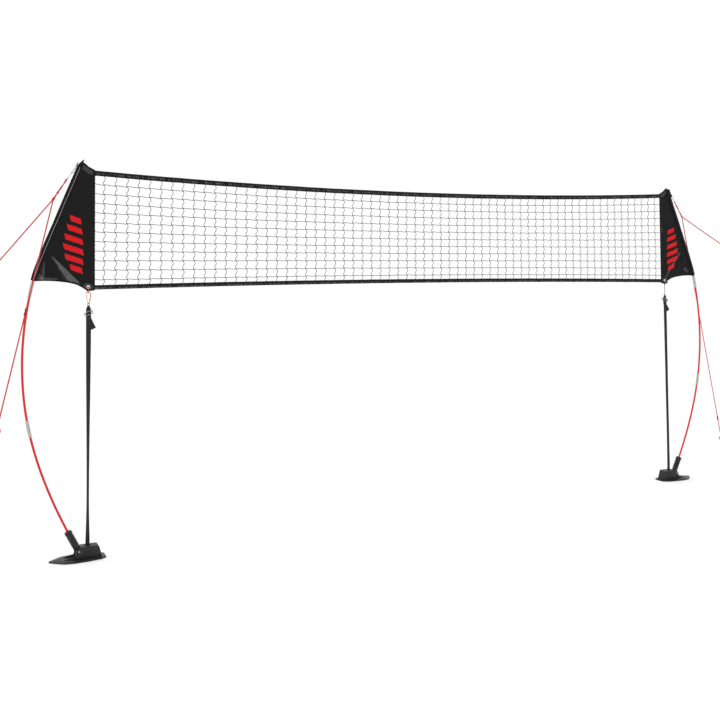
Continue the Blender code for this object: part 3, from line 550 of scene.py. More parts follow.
def fibreglass_material():
    """Glossy red rod with faint lengthwise fibres under the lacquer."""
    m = Shader("fibreglass", (0.60, 0.004, 0.006), 0.30, specular_ior_level=0.3,
               coat_weight=0.25, coat_roughness=0.08)
    fibres = m.streaks((900.0, 900.0, 14.0), 3.0)
    m.link(m.mix(fibres, (0.50, 0.003, 0.005), (0.74, 0.006, 0.008)), "Base Color")
    m.link(m.ramp(m.noise(70.0, 4.0), 0.3, 0.7, 0.22, 0.36), "Roughness")
    m.bump(fibres, 0.12, 0.1 * MM)
    return m.material


def metal_material(name, colour, roughness, scratch):
    """Plated metal with fine scratches and slightly uneven polish."""
    m = Shader(name, colour, roughness, 1.0)
    lines = m.streaks((240.0, 240.0, 2400.0), 2.0)
    patchy = m.noise(140.0, 4.0)
    m.link(m.ramp(patchy, 0.3, 0.7, roughness * 0.7, roughness * 1.5), "Roughness")
    darker = tuple(c * 0.72 for c in colour)
    m.link(m.mix(m.ramp(patchy, 0.35, 0.75), colour, darker), "Base Color")
    m.bump(lines, scratch, 0.06 * MM)
    return m.material


def runner_material():
    """Moulded translucent red plastic."""
    m = Shader("runner", (0.22, 0.004, 0.006), 0.35, specular_ior_level=0.3)
    cloudy = m.noise(120.0, 4.0)
    m.link(m.mix(cloudy, (0.17, 0.004, 0.008), (0.32, 0.010, 0.014)), "Base Color")
    m.bump(m.noise(1100.0, 2.0), 0.15, 0.1 * MM)
    return m.material


MATS = {
    "fabric": fabric_material(),
    "webbing": webbing_material(),
    "tape": tape_material(),
    "twine": twine_material(),
    "cord": cord_material(),
    "plastic": plastic_material(),
    "fibreglass": fibreglass_material(),
    "chrome": metal_material("chrome", (0.42, 0.41, 0.41), 0.16, 0.10),
    # Per-side copies of the chrome: the red tint on the left and the pink-grey tint on the right
    # are painted reflections.
    "chrome_left": metal_material("chrome_left", (0.66, 0.20, 0.15), 0.16, 0.10),
    "chrome_right": metal_material("chrome_right", (0.40, 0.33, 0.32), 0.16, 0.10),
    "ferrule": metal_material("ferrule", (0.50, 0.50, 0.43), 0.24, 0.16),
    "steel": metal_material("steel", (0.42, 0.42, 0.42), 0.30, 0.15),
    "runner": runner_material(),
    "elastic": webbing_material("elastic", (0.62, 0.61, 0.57), (0.80, 0.79, 0.75)),
    "thread": webbing_material("thread", (0.03, 0.03, 0.03), (0.10, 0.10, 0.10)),
    # A line on each sleeve, a painted highlight of the fabric stretched over the pole: a light
    # grey copy on the left, a near-black copy on the right.
    "piping_left": webbing_material("piping_left", (0.20, 0.20, 0.205), (0.46, 0.46, 0.47)),
    "piping_right": webbing_material("piping_right", (0.03, 0.03, 0.03), (0.07, 0.07, 0.07)),
}


# ---- poles ------------------------------------------------------------------
def build_poles(label, side):
    lower, upper = FERRULE_HEIGHTS["lower"], FERRULE_HEIGHTS["upper"]
    ranges = {"lower": (POLE_LINE[0][1], lower - JOINT_GAP),
              "middle": (lower + JOINT_GAP, upper - JOINT_GAP),
              "upper": (upper + JOINT_GAP, POLE_LINE[-1][1])}
    for which, (low, high) in ranges.items():
        path = pole_path(side, low, high, 44)
        radii = [POLE_RADIUS] * len(path)
        radii[0] = radii[-1] = POLE_RADIUS - 0.5 * MM
        rod = Builder().tube(path, radii, sides=20)
        rod.piece(f"{label}_pole_{which}_rod", "fibreglass", ROOT,
                  f"{label}_pole_{which}", "fibreglass")
    for which, middle in FERRULE_HEIGHTS.items():
        reach = FERRULE_LENGTH / 2 * pole_at(middle)[1].z
        lip = 1.6 * MM
        low, high = middle - reach, middle + reach
        heights = [low, low + 0.5 * MM, low + lip, low + 2 * lip]
        heights += steps(low + 4 * lip, high - 4 * lip, 6)
        heights += [high - 2 * lip, high - lip, high - 0.5 * MM, high]
        radii = [FERRULE_RADIUS] * len(heights)
        for k, drop in ((0, 1.3), (1, 0.5), (3, 0.35), (-4, 0.35), (-2, 0.5), (-1, 1.3)):
            radii[k] = FERRULE_RADIUS - drop * MM
        shell = Builder().tube([on_pole(side, pole_at(h)[0]) for h in heights], radii, sides=28)
        shell.piece(f"{label}_ferrule_{which}_sleeve", "ferrule", ROOT,
                    f"{label}_ferrule_{which}", "ferrule")


# ---- base and boot ----------------------------------------------------------
def prism(outline, low, high, place_point):
    bm = bmesh.new()
    bottom = [bm.verts.new(place_point(u, low, v)) for u, v in outline]
    top = [bm.verts.new(place_point(u, high, v)) for u, v in outline]
    bm.faces.new(bottom)
    bm.faces.new(top)
    for k in range(len(outline)):
        n = (k + 1) % len(outline)
        bm.faces.new((bottom[k], bottom[n], top[n], top[k]))
    bmesh.ops.recalc_face_normals(bm, faces=bm.faces)
    return bm


def bevelled(bm, width, segments=3, angle=25.0):
    edges = [e for e in bm.edges if len(e.link_faces) == 2
             and e.calc_face_angle(0.0) > math.radians(angle)]
    bmesh.ops.bevel(bm, geom=edges, offset=width, segments=segments, profile=0.6, affect="EDGES",
                    clamp_overlap=True)
    return bm


def merged_object(name, parts, material, smooth=35.0):
    """Several closed shapes as one piece."""
    mesh = bpy.data.meshes.new(name)
    whole = bmesh.new()
    for part in parts:
        scratch = bpy.data.meshes.new("scratch")
        part.to_mesh(scratch)
        part.free()
        whole.from_mesh(scratch)
        bpy.data.meshes.remove(scratch)
    bmesh.ops.recalc_face_normals(whole, faces=whole.faces)
    whole.to_mesh(mesh)
    whole.free()
    mesh.materials.append(material)
    mesh.shade_smooth()
    mesh.set_sharp_from_angle(angle=math.radians(smooth))
    return linked(name, mesh)


def rounded_outline(points, radius, per_corner=4):
    """A closed outline with each corner replaced by a short curve."""
    out = []
    count = len(points)
    for k in range(count):
        before, here, after = (Vector(points[(k + d) % count]) for d in (-1, 0, 1))
        a = here + (before - here).normalized() * min(radius, (before - here).length * 0.45)
        b = here + (after - here).normalized() * min(radius, (after - here).length * 0.45)
        for j in range(per_corner + 1):
            t = j / per_corner
            out.append(tuple(a.lerp(here, t).lerp(here.lerp(b, t), t)))
    return out


def build_base(label, side):
    """Ground plate, boot housing with open slots, and ribs, all one moulding."""
    body = f"{label}_base"
    outline = PLATE_HALF_OUTLINE + [(s, -y) for s, y in reversed(PLATE_HALF_OUTLINE)]
    outline = rounded_outline(outline, 5 * MM)
    flat = lambda u, h, v: world(side, u, v, h)
    upright = lambda u, y, v: world(side, u, y, v)
    parts = []

    def add(shape, low, high, place_point, bevel, segments, angle):
        prisms = prism(shape, low, high, place_point)
        parts.append(bevelled(prisms, bevel * MM, segments, angle))

    add(outline, 0.0, 5 * MM, flat, 1.6, 3, 50)
    raised = [tuple(PLATE_CENTRE + (Vector(p) - PLATE_CENTRE) * 0.86) for p in outline]
    add(raised, 4.2 * MM, 6.2 * MM, flat, 0.7, 2, 50)
    front = [(-0.040, 0.0035), (-0.029, 0.046), (-0.024, 0.052)]
    back = [(0.0434, 0.052), (0.0362, 0.0376), (0.0362, 0.0035)]
    slot_low, slot_high, slot_half = 0.0005, 0.0275, 6 * MM
    w = HOUSING_HALF_WIDTH
    for low, high in ((-w + 9 * MM, -slot_half), (slot_half, w - 9 * MM)):
        add(front + back, low, high, upright, 1.0, 2, 20)
    for block in (front + [(slot_low, 0.052), (slot_low, 0.0035)],
                  [(slot_high, 0.0035), (slot_high, 0.052)] + back):
        add(block, -slot_half - 0.5 * MM, slot_half + 0.5 * MM, upright, 0.7, 2, 20)
    cheek = front + [(0.040, 0.052), (0.049, 0.0495), (0.057, 0.043), (0.0635, 0.030),
                     (0.068, 0.0035)]
    for low, high in ((-w, -15 * MM), (15 * MM, w)):
        add(cheek, low, high, upright, 1.6, 3, 14)
    rib = [(0.064, 0.0045), (0.064, 0.018), (0.112, 0.0062), (0.112, 0.0045)]
    for y in (-19.5 * MM, 19.5 * MM):
        add(rib, y - 1.4 * MM, y + 1.4 * MM, upright, 0.6, 2, 20)
    piece = merged_object(f"{label}_foot_moulding", parts, MATS["plastic"])
    place(piece, body, f"{label}_base")
    face = (w + 0.3 * MM) / MM
    half = [(3.0, face), (3.9, face), (4.2, face + 0.3), (4.1, face + 0.8), (3.4, face + 1.4),
            (2.2, face + 1.8), (0.8, face + 1.9)]
    profile = in_mm([(r, -y) for r, y in reversed(half)] + half)
    bolt = Builder().lathe(profile, in_plane(side, PIVOT), Y_AXIS, 28, closed_profile=False)
    bolt.piece(f"{label}_rivet", "steel", body, f"{label}_pivot_bolt", "steel")


def build_boot(label, side):
    """Ribbed socket on a round lug."""
    pivot = in_plane(side, PIVOT)
    axis = Vector((side * math.sin(BOOT_TILT), 0.0, math.cos(BOOT_TILT)))
    body = 13.2
    profile = [(7.0, 2.0), (11.6, 2.6), (12.6, 5.0), (body, 16.0)]
    along = 24.0
    for _ in range(5):
        profile += [(body - 0.6, along), (body + 1.5, along + 1.0),
                    (body + 1.5, along + 4.4), (body - 0.6, along + 5.4)]
        along += 9.4
    profile += [(body, 74.0), (body + 1.2, 75.5), (body + 1.2, 86.5), (body + 0.2, 89.6),
                (11.4, 91.0), (6.6, 91.0), (5.4, 89.8), (5.3, 34.0)]
    across = Y_AXIS.cross(axis).normalized()
    rings = []
    for r, a in profile:
        ring = []
        for t in circle(32):
            facet = 1.0 + 0.035 * math.cos(8 * t)
            out = across * math.cos(t) + Y_AXIS * math.sin(t)
            ring.append(pivot + axis * (a * MM) + out * (r * MM * facet))
        rings.append(ring)
    barrel = Builder().sweep(rings)
    lug = [(3.4, -12.0), (12.0, -12.0), (13.0, -11.0), (13.0, 11.0), (12.0, 12.0), (3.4, 12.0)]
    barrel.lathe(in_mm(lug), pivot, Y_AXIS, 32)
    barrel.piece(f"{label}_ribbed_socket", "plastic", ROOT, f"{label}_pole_boot", "moulding",
                 smooth=30)


# ---- net and tapes ----------------------------------------------------------
COLUMNS = 64
ROWS = 11
TOP_GAP, BOTTOM_GAP = 0.081, 0.052      # shares of the depth above and below the rows
END_CELL_SHORTER = 0.14                 # of a cell, at each seam
TWINE_RADIUS = 1.3 * MM
STRAND_STEPS = 9                        # points between two knots of an upright strand
STRAND_RISE = ((0.0, 0.0), (0.07, 1.5), (0.3, 0.7), (0.55, -0.3), (0.8, -1.1), (0.93, -1.5))
KNOT_SHAPE = ((-2.8, 0.9), (-1.6, 1.6), (0.0, 1.9), (1.6, 1.6), (2.8, 0.9))     # along, radius


def net_point(column, row):
    """Knot of a column (0 and 65 are the seams) and row (0 and 12 are the tapes)."""
    share = (column - END_CELL_SHORTER) / (COLUMNS + 1 - 2 * END_CELL_SHORTER)
    share = clamp(share)
    if row == 0:
        up = 1.0
    elif row == ROWS + 1:
        up = 0.0
    else:
        up = 1.0 - TOP_GAP - (1.0 - TOP_GAP - BOTTOM_GAP) * (row - 1) / (ROWS - 1)
    guess = BOTTOM_TAPE_END_Z + (TOP_TAPE_END_Z - BOTTOM_TAPE_END_Z) * up
    half = HALF_SPAN + seam_s(guess) + 0.001
    x = -half + 2 * half * share
    low = sag(x, BOTTOM_TAPE_END_Z, BOTTOM_TAPE_MID_Z) - 0.002
    high = sag(x, TOP_TAPE_END_Z, TOP_TAPE_MID_Z) - TOP_TAPE_HEIGHT + 0.002
    point = Vector((x, 0.0, low + (high - low) * up))
    if 0 < row <= ROWS and 0 < column <= COLUMNS:
        rng = random.Random(column * 97 + row)
        point += Vector([rng.uniform(-reach, reach) * MM for reach in (1.0, 0.8, 0.8)])
    return point


def cell_wave(t):
    """Sideways bow of a vertical strand between two knots, from -1 to 1."""
    marks = [(0.0, 0.0), (0.35, 0.25), (0.58, 0.5), (0.80, 0.75), (1.0, 1.0)]
    for (t0, g0), (t1, g1) in zip(marks, marks[1:]):
        if t <= t1:
            return math.sin(2 * math.pi * (g0 + (g1 - g0) * (t - t0) / (t1 - t0)))
    return 0.0


def build_net():
    uprights = Builder()
    for column in range(1, COLUMNS + 1):
        path = []
        for row in range(ROWS + 1):
            a, b = net_point(column, row), net_point(column, row + 1)
            for k in range(STRAND_STEPS + (row == ROWS)):
                t = k / STRAND_STEPS
                point = a.lerp(b, t)
                point.x += 4.0 * MM * cell_wave(t) * min(1.0, (b - a).length / 0.03)
                path.append(point)
        uprights.tube(path, TWINE_RADIUS, sides=5)
    uprights.piece("net_upright_strands", "twine", ROOT, "net_mesh", "twine", smooth=0)
    rows = Builder()
    for row in range(1, ROWS + 1):
        path = []
        for column in range(COLUMNS + 1):
            a, b = net_point(column, row), net_point(column + 1, row)
            path += [a.lerp(b, t) + Vector((0, 0, lift * MM)) for t, lift in STRAND_RISE]
        path.append(b)
        rows.tube(path, TWINE_RADIUS, sides=5)
    rows.piece("net_cross_strands", "twine", ROOT, slot="twine", smooth=0)
    knots = Builder()
    for column in range(1, COLUMNS + 1):
        for row in range(1, ROWS + 1):
            centre = net_point(column, row)
            for tilt in (0.7, -0.7):
                axis = Vector((math.sin(tilt), 0.25, math.cos(tilt)))
                points = [centre + axis * (a * MM) for a, _ in KNOT_SHAPE]
                knots.tube(points, [r * MM for _, r in KNOT_SHAPE], sides=6)
    knots.piece("net_knots", "twine", ROOT, slot="twine", smooth=0)


def tape_ring(centre, half_height, top_bulge):
    """Cross-section of a folded tape: flat faces, a fuller upper edge over the cord."""
    outline = []
    for t in circle(24):
        z = math.sin(t)
        y = math.copysign(abs(math.cos(t)) ** 0.45, math.cos(t))
        full = 1.45 * MM + (top_bulge - 1.45 * MM) * max(0.0, z) ** 3
        outline.append(centre + Vector((0, y * full, z * half_height)))
    return outline


def build_tapes():
    for name, end_z, mid_z, height, node in (
            ("top_band", TOP_TAPE_END_Z, TOP_TAPE_MID_Z, TOP_TAPE_HEIGHT, "top_tape"),
            ("bottom_band", BOTTOM_TAPE_END_Z, BOTTOM_TAPE_MID_Z, BOTTOM_TAPE_HEIGHT,
             "bottom_tape")):
        half = HALF_SPAN + seam_s(end_z - height / 2) + 0.002
        rings = []
        for x in steps(-half, half, 260):
            ripple = noise.noise(Vector((x * 9.0, end_z, 0.0)))
            rise = 0.5 * MM * noise.noise(Vector((x * 14, 3.0, end_z)))
            z = sag(x, end_z, mid_z) - height / 2 + rise
            rings.append(tape_ring(Vector((x, 1.3 * MM * ripple, z)), height / 2, 2.6 * MM))
        place(Builder().sweep(rings).object(name, MATS["tape"]), ROOT, node)


# ---- end panels -------------------------------------------------------------
PANEL_HEM = [(-0.0225, 1.0765), (-0.012, 1.0752), (0.004, 1.0765), (0.020, 1.0865), (0.040, 1.098),
             (0.070, 1.107), (0.113, 1.1135), (0.160, 1.1165)]
PANEL_U, PANEL_V = 96, 190
BAND = (7 * MM, 25 * MM)                # the grey edging, measured from the top edge
EYELET_HOLE = 4.4 * MM


def along_curve(points, share):
    """Point at a share of a polyline's length."""
    lengths = [(Vector(b) - Vector(a)).length for a, b in zip(points, points[1:])]
    left = share * sum(lengths)
    for a, b, length in zip(points, points[1:], lengths):
        if left <= length or b is points[-1]:
            return Vector(a).lerp(Vector(b), min(1.0, left / length))
        left -= length
    return Vector(points[-1])


def panel_edges():
    """The seam, sleeve, hem and top edges, each as a function of its share from 0 to 1."""
    seam = lambda v: Vector(SEAM_BOTTOM).lerp(Vector(SEAM_TOP), v)

    def outer(v):
        h = SLEEVE_BOTTOM_Z + (SLEEVE_TOP_Z + 0.003 - SLEEVE_BOTTOM_Z) * v
        p = beside_pole(h, -(SLEEVE_HALF_WIDTH - 2.5 * MM))
        return Vector((p.x, p.z))

    corner = outer(0)
    hem_marks = [(s, 0, h) for s, h in PANEL_HEM] + [(corner.x, 0, corner.y)]
    hem_curve = [(p.x, p.z) for p in spline(hem_marks, 6)]
    top_curve = [SEAM_TOP, (-0.004, 1.5755), (0.006, 1.585), tuple(outer(1))]
    return seam, outer, lambda u: along_curve(hem_curve, u), lambda u: along_curve(top_curve, u)


def panel_point(edges, u, v):
    """Coons patch between the seam, the sleeve, the hem and the top edge."""
    seam, outer, hem, top = edges
    ruled = seam(v).lerp(outer(v), u) + hem(u).lerp(top(u), v)
    corners = seam(0).lerp(outer(0), u).lerp(seam(1).lerp(outer(1), u), v)
    return ruled - corners


def fold(p, a, b, width, height):
    """A soft ridge along the line from a to b, rising from a and fading past b."""
    a, b = Vector(a), Vector(b)
    run = b - a
    share = (p - a).dot(run) / run.length_squared
    away = abs((p - a).x * run.y - (p - a).y * run.x) / run.length
    fade = math.exp(-(away / width) ** 2)
    ends = clamp(share * 4) * clamp((1.25 - share) * 2)
    return height * fade * ends


# Tension folds: from, to, width, and height in millimetres towards the back.
FOLDS = [((0.004, 1.090), (0.155, 1.215), 0.012, -5.5),
         ((0.004, 1.090), (0.190, 1.165), 0.010, 3.5),
         ((0.000, 1.095), (0.075, 1.300), 0.010, -3.0),
         ((-0.005, 1.100), (0.030, 1.400), 0.009, 2.2),
         ((0.195, 1.125), (0.120, 1.230), 0.012, -3.5),
         ((0.205, 1.122), (0.130, 1.128), 0.008, -3.0)]


def panel_depth(side, p, u, v):
    """Depth of the fabric at an in-plane point: billow, tension folds and puckers."""
    free = (min(1.0, 12 * u) * min(1.0, 12 * (1 - u)) * min(1.0, 14 * (1 - v))
            * min(1.0, 8 * v + 0.25))
    depth = -2.5 * MM * math.sin(math.pi * u) * math.sin(math.pi * min(1, v * 1.1))
    for start, end, width, height in FOLDS:
        depth += fold(p, start, end, width, height * MM)
    depth += 2.2 * MM * noise.noise(Vector((p.x * 14, side * 4.0, p.y * 9)))
    depth += 0.7 * MM * noise.noise(Vector((p.x * 60, side * 2.0, p.y * 45)))
    near_seam = math.exp(-u * 14)
    depth += 1.1 * MM * near_seam * math.sin(p.y * 2 * math.pi / 0.024)
    near_sleeve = math.exp(-(1 - u) * 12)
    depth += 1.2 * MM * near_sleeve * math.sin(p.y * 2 * math.pi / 0.031 + 1.0)
    return depth * free


def in_bar(p, centre, half_long):
    """1 inside a slanted bar of the printed motif, 0 outside, with a soft edge."""
    local = p - Vector(centre)
    d = MOTIF_DIRECTION.normalized()
    along = local.dot(d)
    across = local.dot(Vector((-d.y, d.x)))
    along -= across * MOTIF_SKEW
    edge = min(half_long - abs(along), MOTIF_HALF_WIDTH - abs(across))
    return clamp(edge / MOTIF_SOFT_EDGE + 0.5)


MOTIF_DIRECTION, MOTIF_SKEW = Vector((0.95, 0.32)), 0.55
MOTIF_HALF_WIDTH, MOTIF_SOFT_EDGE = 10.5 * MM, 1.2 * MM
MOTIF_LOW, MOTIF_HIGH = 1.12, 1.40
MOTIF_BARS = [((0.046, 1.162), 0.024), ((0.054, 1.201), 0.036), ((0.056, 1.241), 0.040),
              ((0.054, 1.281), 0.036), ((0.050, 1.321), 0.030), ((0.046, 1.359), 0.022)]

# Strokes of painted highlight on the fabric, where light catches the folds: from, to, width at
# each end, strength.
FOLD_HIGHLIGHTS = {
    -1: [((0.136, 1.210), (0.040, 1.108), 0.003, 0.016, 0.80),
         ((0.122, 1.188), (0.062, 1.110), 0.003, 0.014, 0.55),
         ((0.166, 1.186), (0.170, 1.135), 0.004, 0.009, 0.42),
         ((0.192, 1.124), (0.122, 1.121), 0.005, 0.003, 0.60),
         ((0.186, 1.138), (0.176, 1.126), 0.003, 0.005, 0.45)],
    1: [((0.105, 1.236), (0.010, 1.112), 0.006, 0.004, 0.50),
        ((0.149, 1.152), (0.163, 1.140), 0.008, 0.006, 0.45),
        ((-0.014, 1.372), (-0.018, 1.352), 0.003, 0.002, 0.45)],
}


def fold_highlight_at(side, p):
    """Strength of the painted fold highlight at an in-plane point, from 0 to 1."""
    total = 0.0
    for a, b, wide_a, wide_b, strength in FOLD_HIGHLIGHTS[side]:
        a, b = Vector(a), Vector(b)
        run = b - a
        t = clamp((p - a).dot(run) / run.length_squared)
        width = wide_a + (wide_b - wide_a) * t
        grain = 1.0 + 0.35 * noise.noise(Vector((p.x * 70, p.y * 70, side)))
        away = p - a - run * t
        if wide_b > 2 * wide_a and away.x * run.y - away.y * run.x > 0:
            width *= 0.22           # the sharp side of a crease
        total += strength * math.exp(-(away.length / (width * grain)) ** 2)
    return min(1.0, total)


def build_panel(label, side):
    edges = panel_edges()
    half = 0.7 * MM
    grid = [[panel_point(edges, u, v) for u in steps(0, 1, PANEL_U)] for v in steps(0, 1, PANEL_V)]
    hole = Vector(GROMMET)
    b = Builder()
    band, motif, fold_highlight = [], [], []
    count = PANEL_U + 1
    for face_sign in (-1, 1):
        for j, row in enumerate(grid):
            for i, p in enumerate(row):
                u, v = i / PANEL_U, j / PANEL_V
                depth = panel_depth(side, p, u, v)
                calm = clamp(((p - hole).length - 0.009) / 0.02)
                b.verts.append(tuple(world(side, p.x, depth * calm + face_sign * half, p.y)))
                from_top = (grid[-1][i] - p).length
                band.append(1.0 if BAND[0] < from_top < BAND[1] else 0.0)
                motif.append(max(in_bar(p, *bar) for bar in MOTIF_BARS)
                             if MOTIF_LOW < p.y < MOTIF_HIGH else 0.0)
                # strength of the painted fold highlight at this point
                fold_highlight.append(fold_highlight_at(side, p))
    total = count * (PANEL_V + 1)
    open_cells = set()
    for j in range(PANEL_V):
        for i in range(PANEL_U):
            centre = (grid[j][i] + grid[j + 1][i + 1]) / 2
            if (centre - hole).length < EYELET_HOLE:
                open_cells.add((i, j))

    def quad(i, j, face):
        base = face * total + j * count + i
        corners = (base, base + 1, base + 1 + count, base + count)
        return corners if face == 0 else tuple(reversed(corners))

    def rim(a, c):
        b.faces.append((a, c, c + total, a + total))

    for j in range(PANEL_V):
        for i in range(PANEL_U):
            if (i, j) in open_cells:
                continue
            b.faces.append(quad(i, j, 0))
            b.faces.append(quad(i, j, 1))
            low = j * count + i
            if j == 0 or (i, j - 1) in open_cells:
                rim(low, low + 1)
            if j == PANEL_V - 1 or (i, j + 1) in open_cells:
                rim(low + count + 1, low + count)
            if i == 0 or (i - 1, j) in open_cells:
                rim(low + count, low)
            if i == PANEL_U - 1 or (i + 1, j) in open_cells:
                rim(low + 1, low + 1 + count)
    b.uvs = [[(b.verts[k][0], b.verts[k][2]) for k in face] for face in b.faces]
    sheet = b.object(f"{label}_panel_fabric", MATS["fabric"], 60)
    for name, values in (("band", band), ("print", motif), ("fold_highlight", fold_highlight)):
        sheet.data.attributes.new(name, "FLOAT", "POINT").data.foreach_set("value", values)
    place(sheet, ROOT, f"{label}_end_panel")
    return sheet, edges


STITCH_LENGTH, STITCH_GAP, THREAD_RADIUS = 3.6 * MM, 2.0 * MM, 0.45 * MM


def stitches(b, path, offset):
    """Short thread bars laid along a path, raised by offset."""
    lengths = [0.0]
    for a, c in zip(path, path[1:]):
        lengths.append(lengths[-1] + (c - a).length)
    position = STITCH_GAP
    k = 0
    while position + STITCH_LENGTH < lengths[-1]:
        ends = []
        for target in (position, position + STITCH_LENGTH):
            while lengths[k + 1] < target:
                k += 1
            share = (target - lengths[k]) / (lengths[k + 1] - lengths[k])
            ends.append(path[k].lerp(path[k + 1], share))
        a, c = ends
        lifted = [a + offset * 0.2, a.lerp(c, 0.2) + offset,
                  a.lerp(c, 0.8) + offset, c + offset * 0.2]
        b.tube(lifted, [THREAD_RADIUS * share for share in (0.7, 1.0, 1.0, 0.7)], sides=5)
        position += STITCH_LENGTH + STITCH_GAP


SLEEVE_SIDES, SLEEVE_RINGS = 28, 150
SLEEVE_DRAWN_IN = 0.98                  # share of the sleeve's height where the tip begins
# How the closed tip narrows: rise along the pole, half sizes and lean in millimetres.
SLEEVE_TIP = ((0.001, 8.0, 5.0, -0.6), (0.004, 6.0, 4.0, -1.6), (0.008, 3.8, 2.8, -2.8),
              (0.0110, 1.9, 1.8, -3.6), (0.0120, 0.6, 0.8, -3.9))
# How the mouth rolls in: drop below the edge and share of the sleeve's size.
SLEEVE_MOUTH = ((0.0015, 0.97), (0.0005, 0.86), (-0.001, 0.76), (-0.012, 0.70))


def build_sleeve(label, side):
    """Fabric sleeve with creases, a rolled mouth and a folded, closed tip."""
    rings = []
    for k, h in enumerate(steps(SLEEVE_BOTTOM_Z, SLEEVE_TOP_Z - 0.006, SLEEVE_RINGS)):
        point, tangent = pole_at(h)
        outward = Vector((tangent.z, 0, -tangent.x))
        share = k / SLEEVE_RINGS
        ring = []
        for t in circle(SLEEVE_SIDES):
            c, s = math.cos(t), math.sin(t)
            crease = noise.noise(Vector((h * 26.0, c * 1.5 + side, s * 1.5)))
            fine = noise.noise(Vector((h * 85.0, c * 2.0, s * 2.0 + side)))
            swell = 1.0 + 0.09 * crease + 0.035 * fine
            if share > SLEEVE_DRAWN_IN:
                swell *= 1.0 - 0.30 * (share - SLEEVE_DRAWN_IN) / 0.02
            a = SLEEVE_HALF_WIDTH * (1.0 if c > 0 else 1.12) * swell
            flat = abs(s) ** 0.9 * math.copysign(1, s)
            depth = SLEEVE_HALF_DEPTH * swell * (0.92 if c > 0 else 0.88)
            ring.append(on_pole(side, point + outward * (a * c), depth * flat))
        rings.append(ring)
    centre = [sum(r, Vector()) / len(r) for r in rings]
    down = (centre[0] - centre[1]).normalized()
    mouth = [[centre[0] + (p - centre[0]) * shrink + down * drop for p in rings[0]]
             for drop, shrink in SLEEVE_MOUTH]
    rings = mouth[::-1] + rings
    tip, tangent = pole_at(SLEEVE_TOP_Z - 0.004)
    for rise, wide, deep, lean in SLEEVE_TIP:
        p = tip + tangent * (rise * TIP_STRETCH[side])
        rings.append([world(side, p.x + (wide * math.cos(t) + lean) * MM,
                            deep * MM * math.sin(t), p.z) for t in circle(SLEEVE_SIDES)])
    Builder().sweep(rings).piece(f"{label}_sleeve_fabric", "fabric", ROOT,
                                 f"{label}_pole_sleeve", "panel_fabric", smooth=60)


CORNER_PATCH = [(-0.020, 1.092), (-0.012, 1.1005), (0.006, 1.106), (0.018, 1.101),
                (0.0215, 1.091), (0.010, 1.0795), (-0.004, 1.0762), (-0.020, 1.0775)]
CORNER_TAB = [(-0.030, 2.9, 1.0885), (-0.014, 5.4, 1.0835), (0.006, 6.9, 1.0790),
              (0.018, 6.6, 1.0775), (0.029, 5.8, 1.0770)]       # y in millimetres


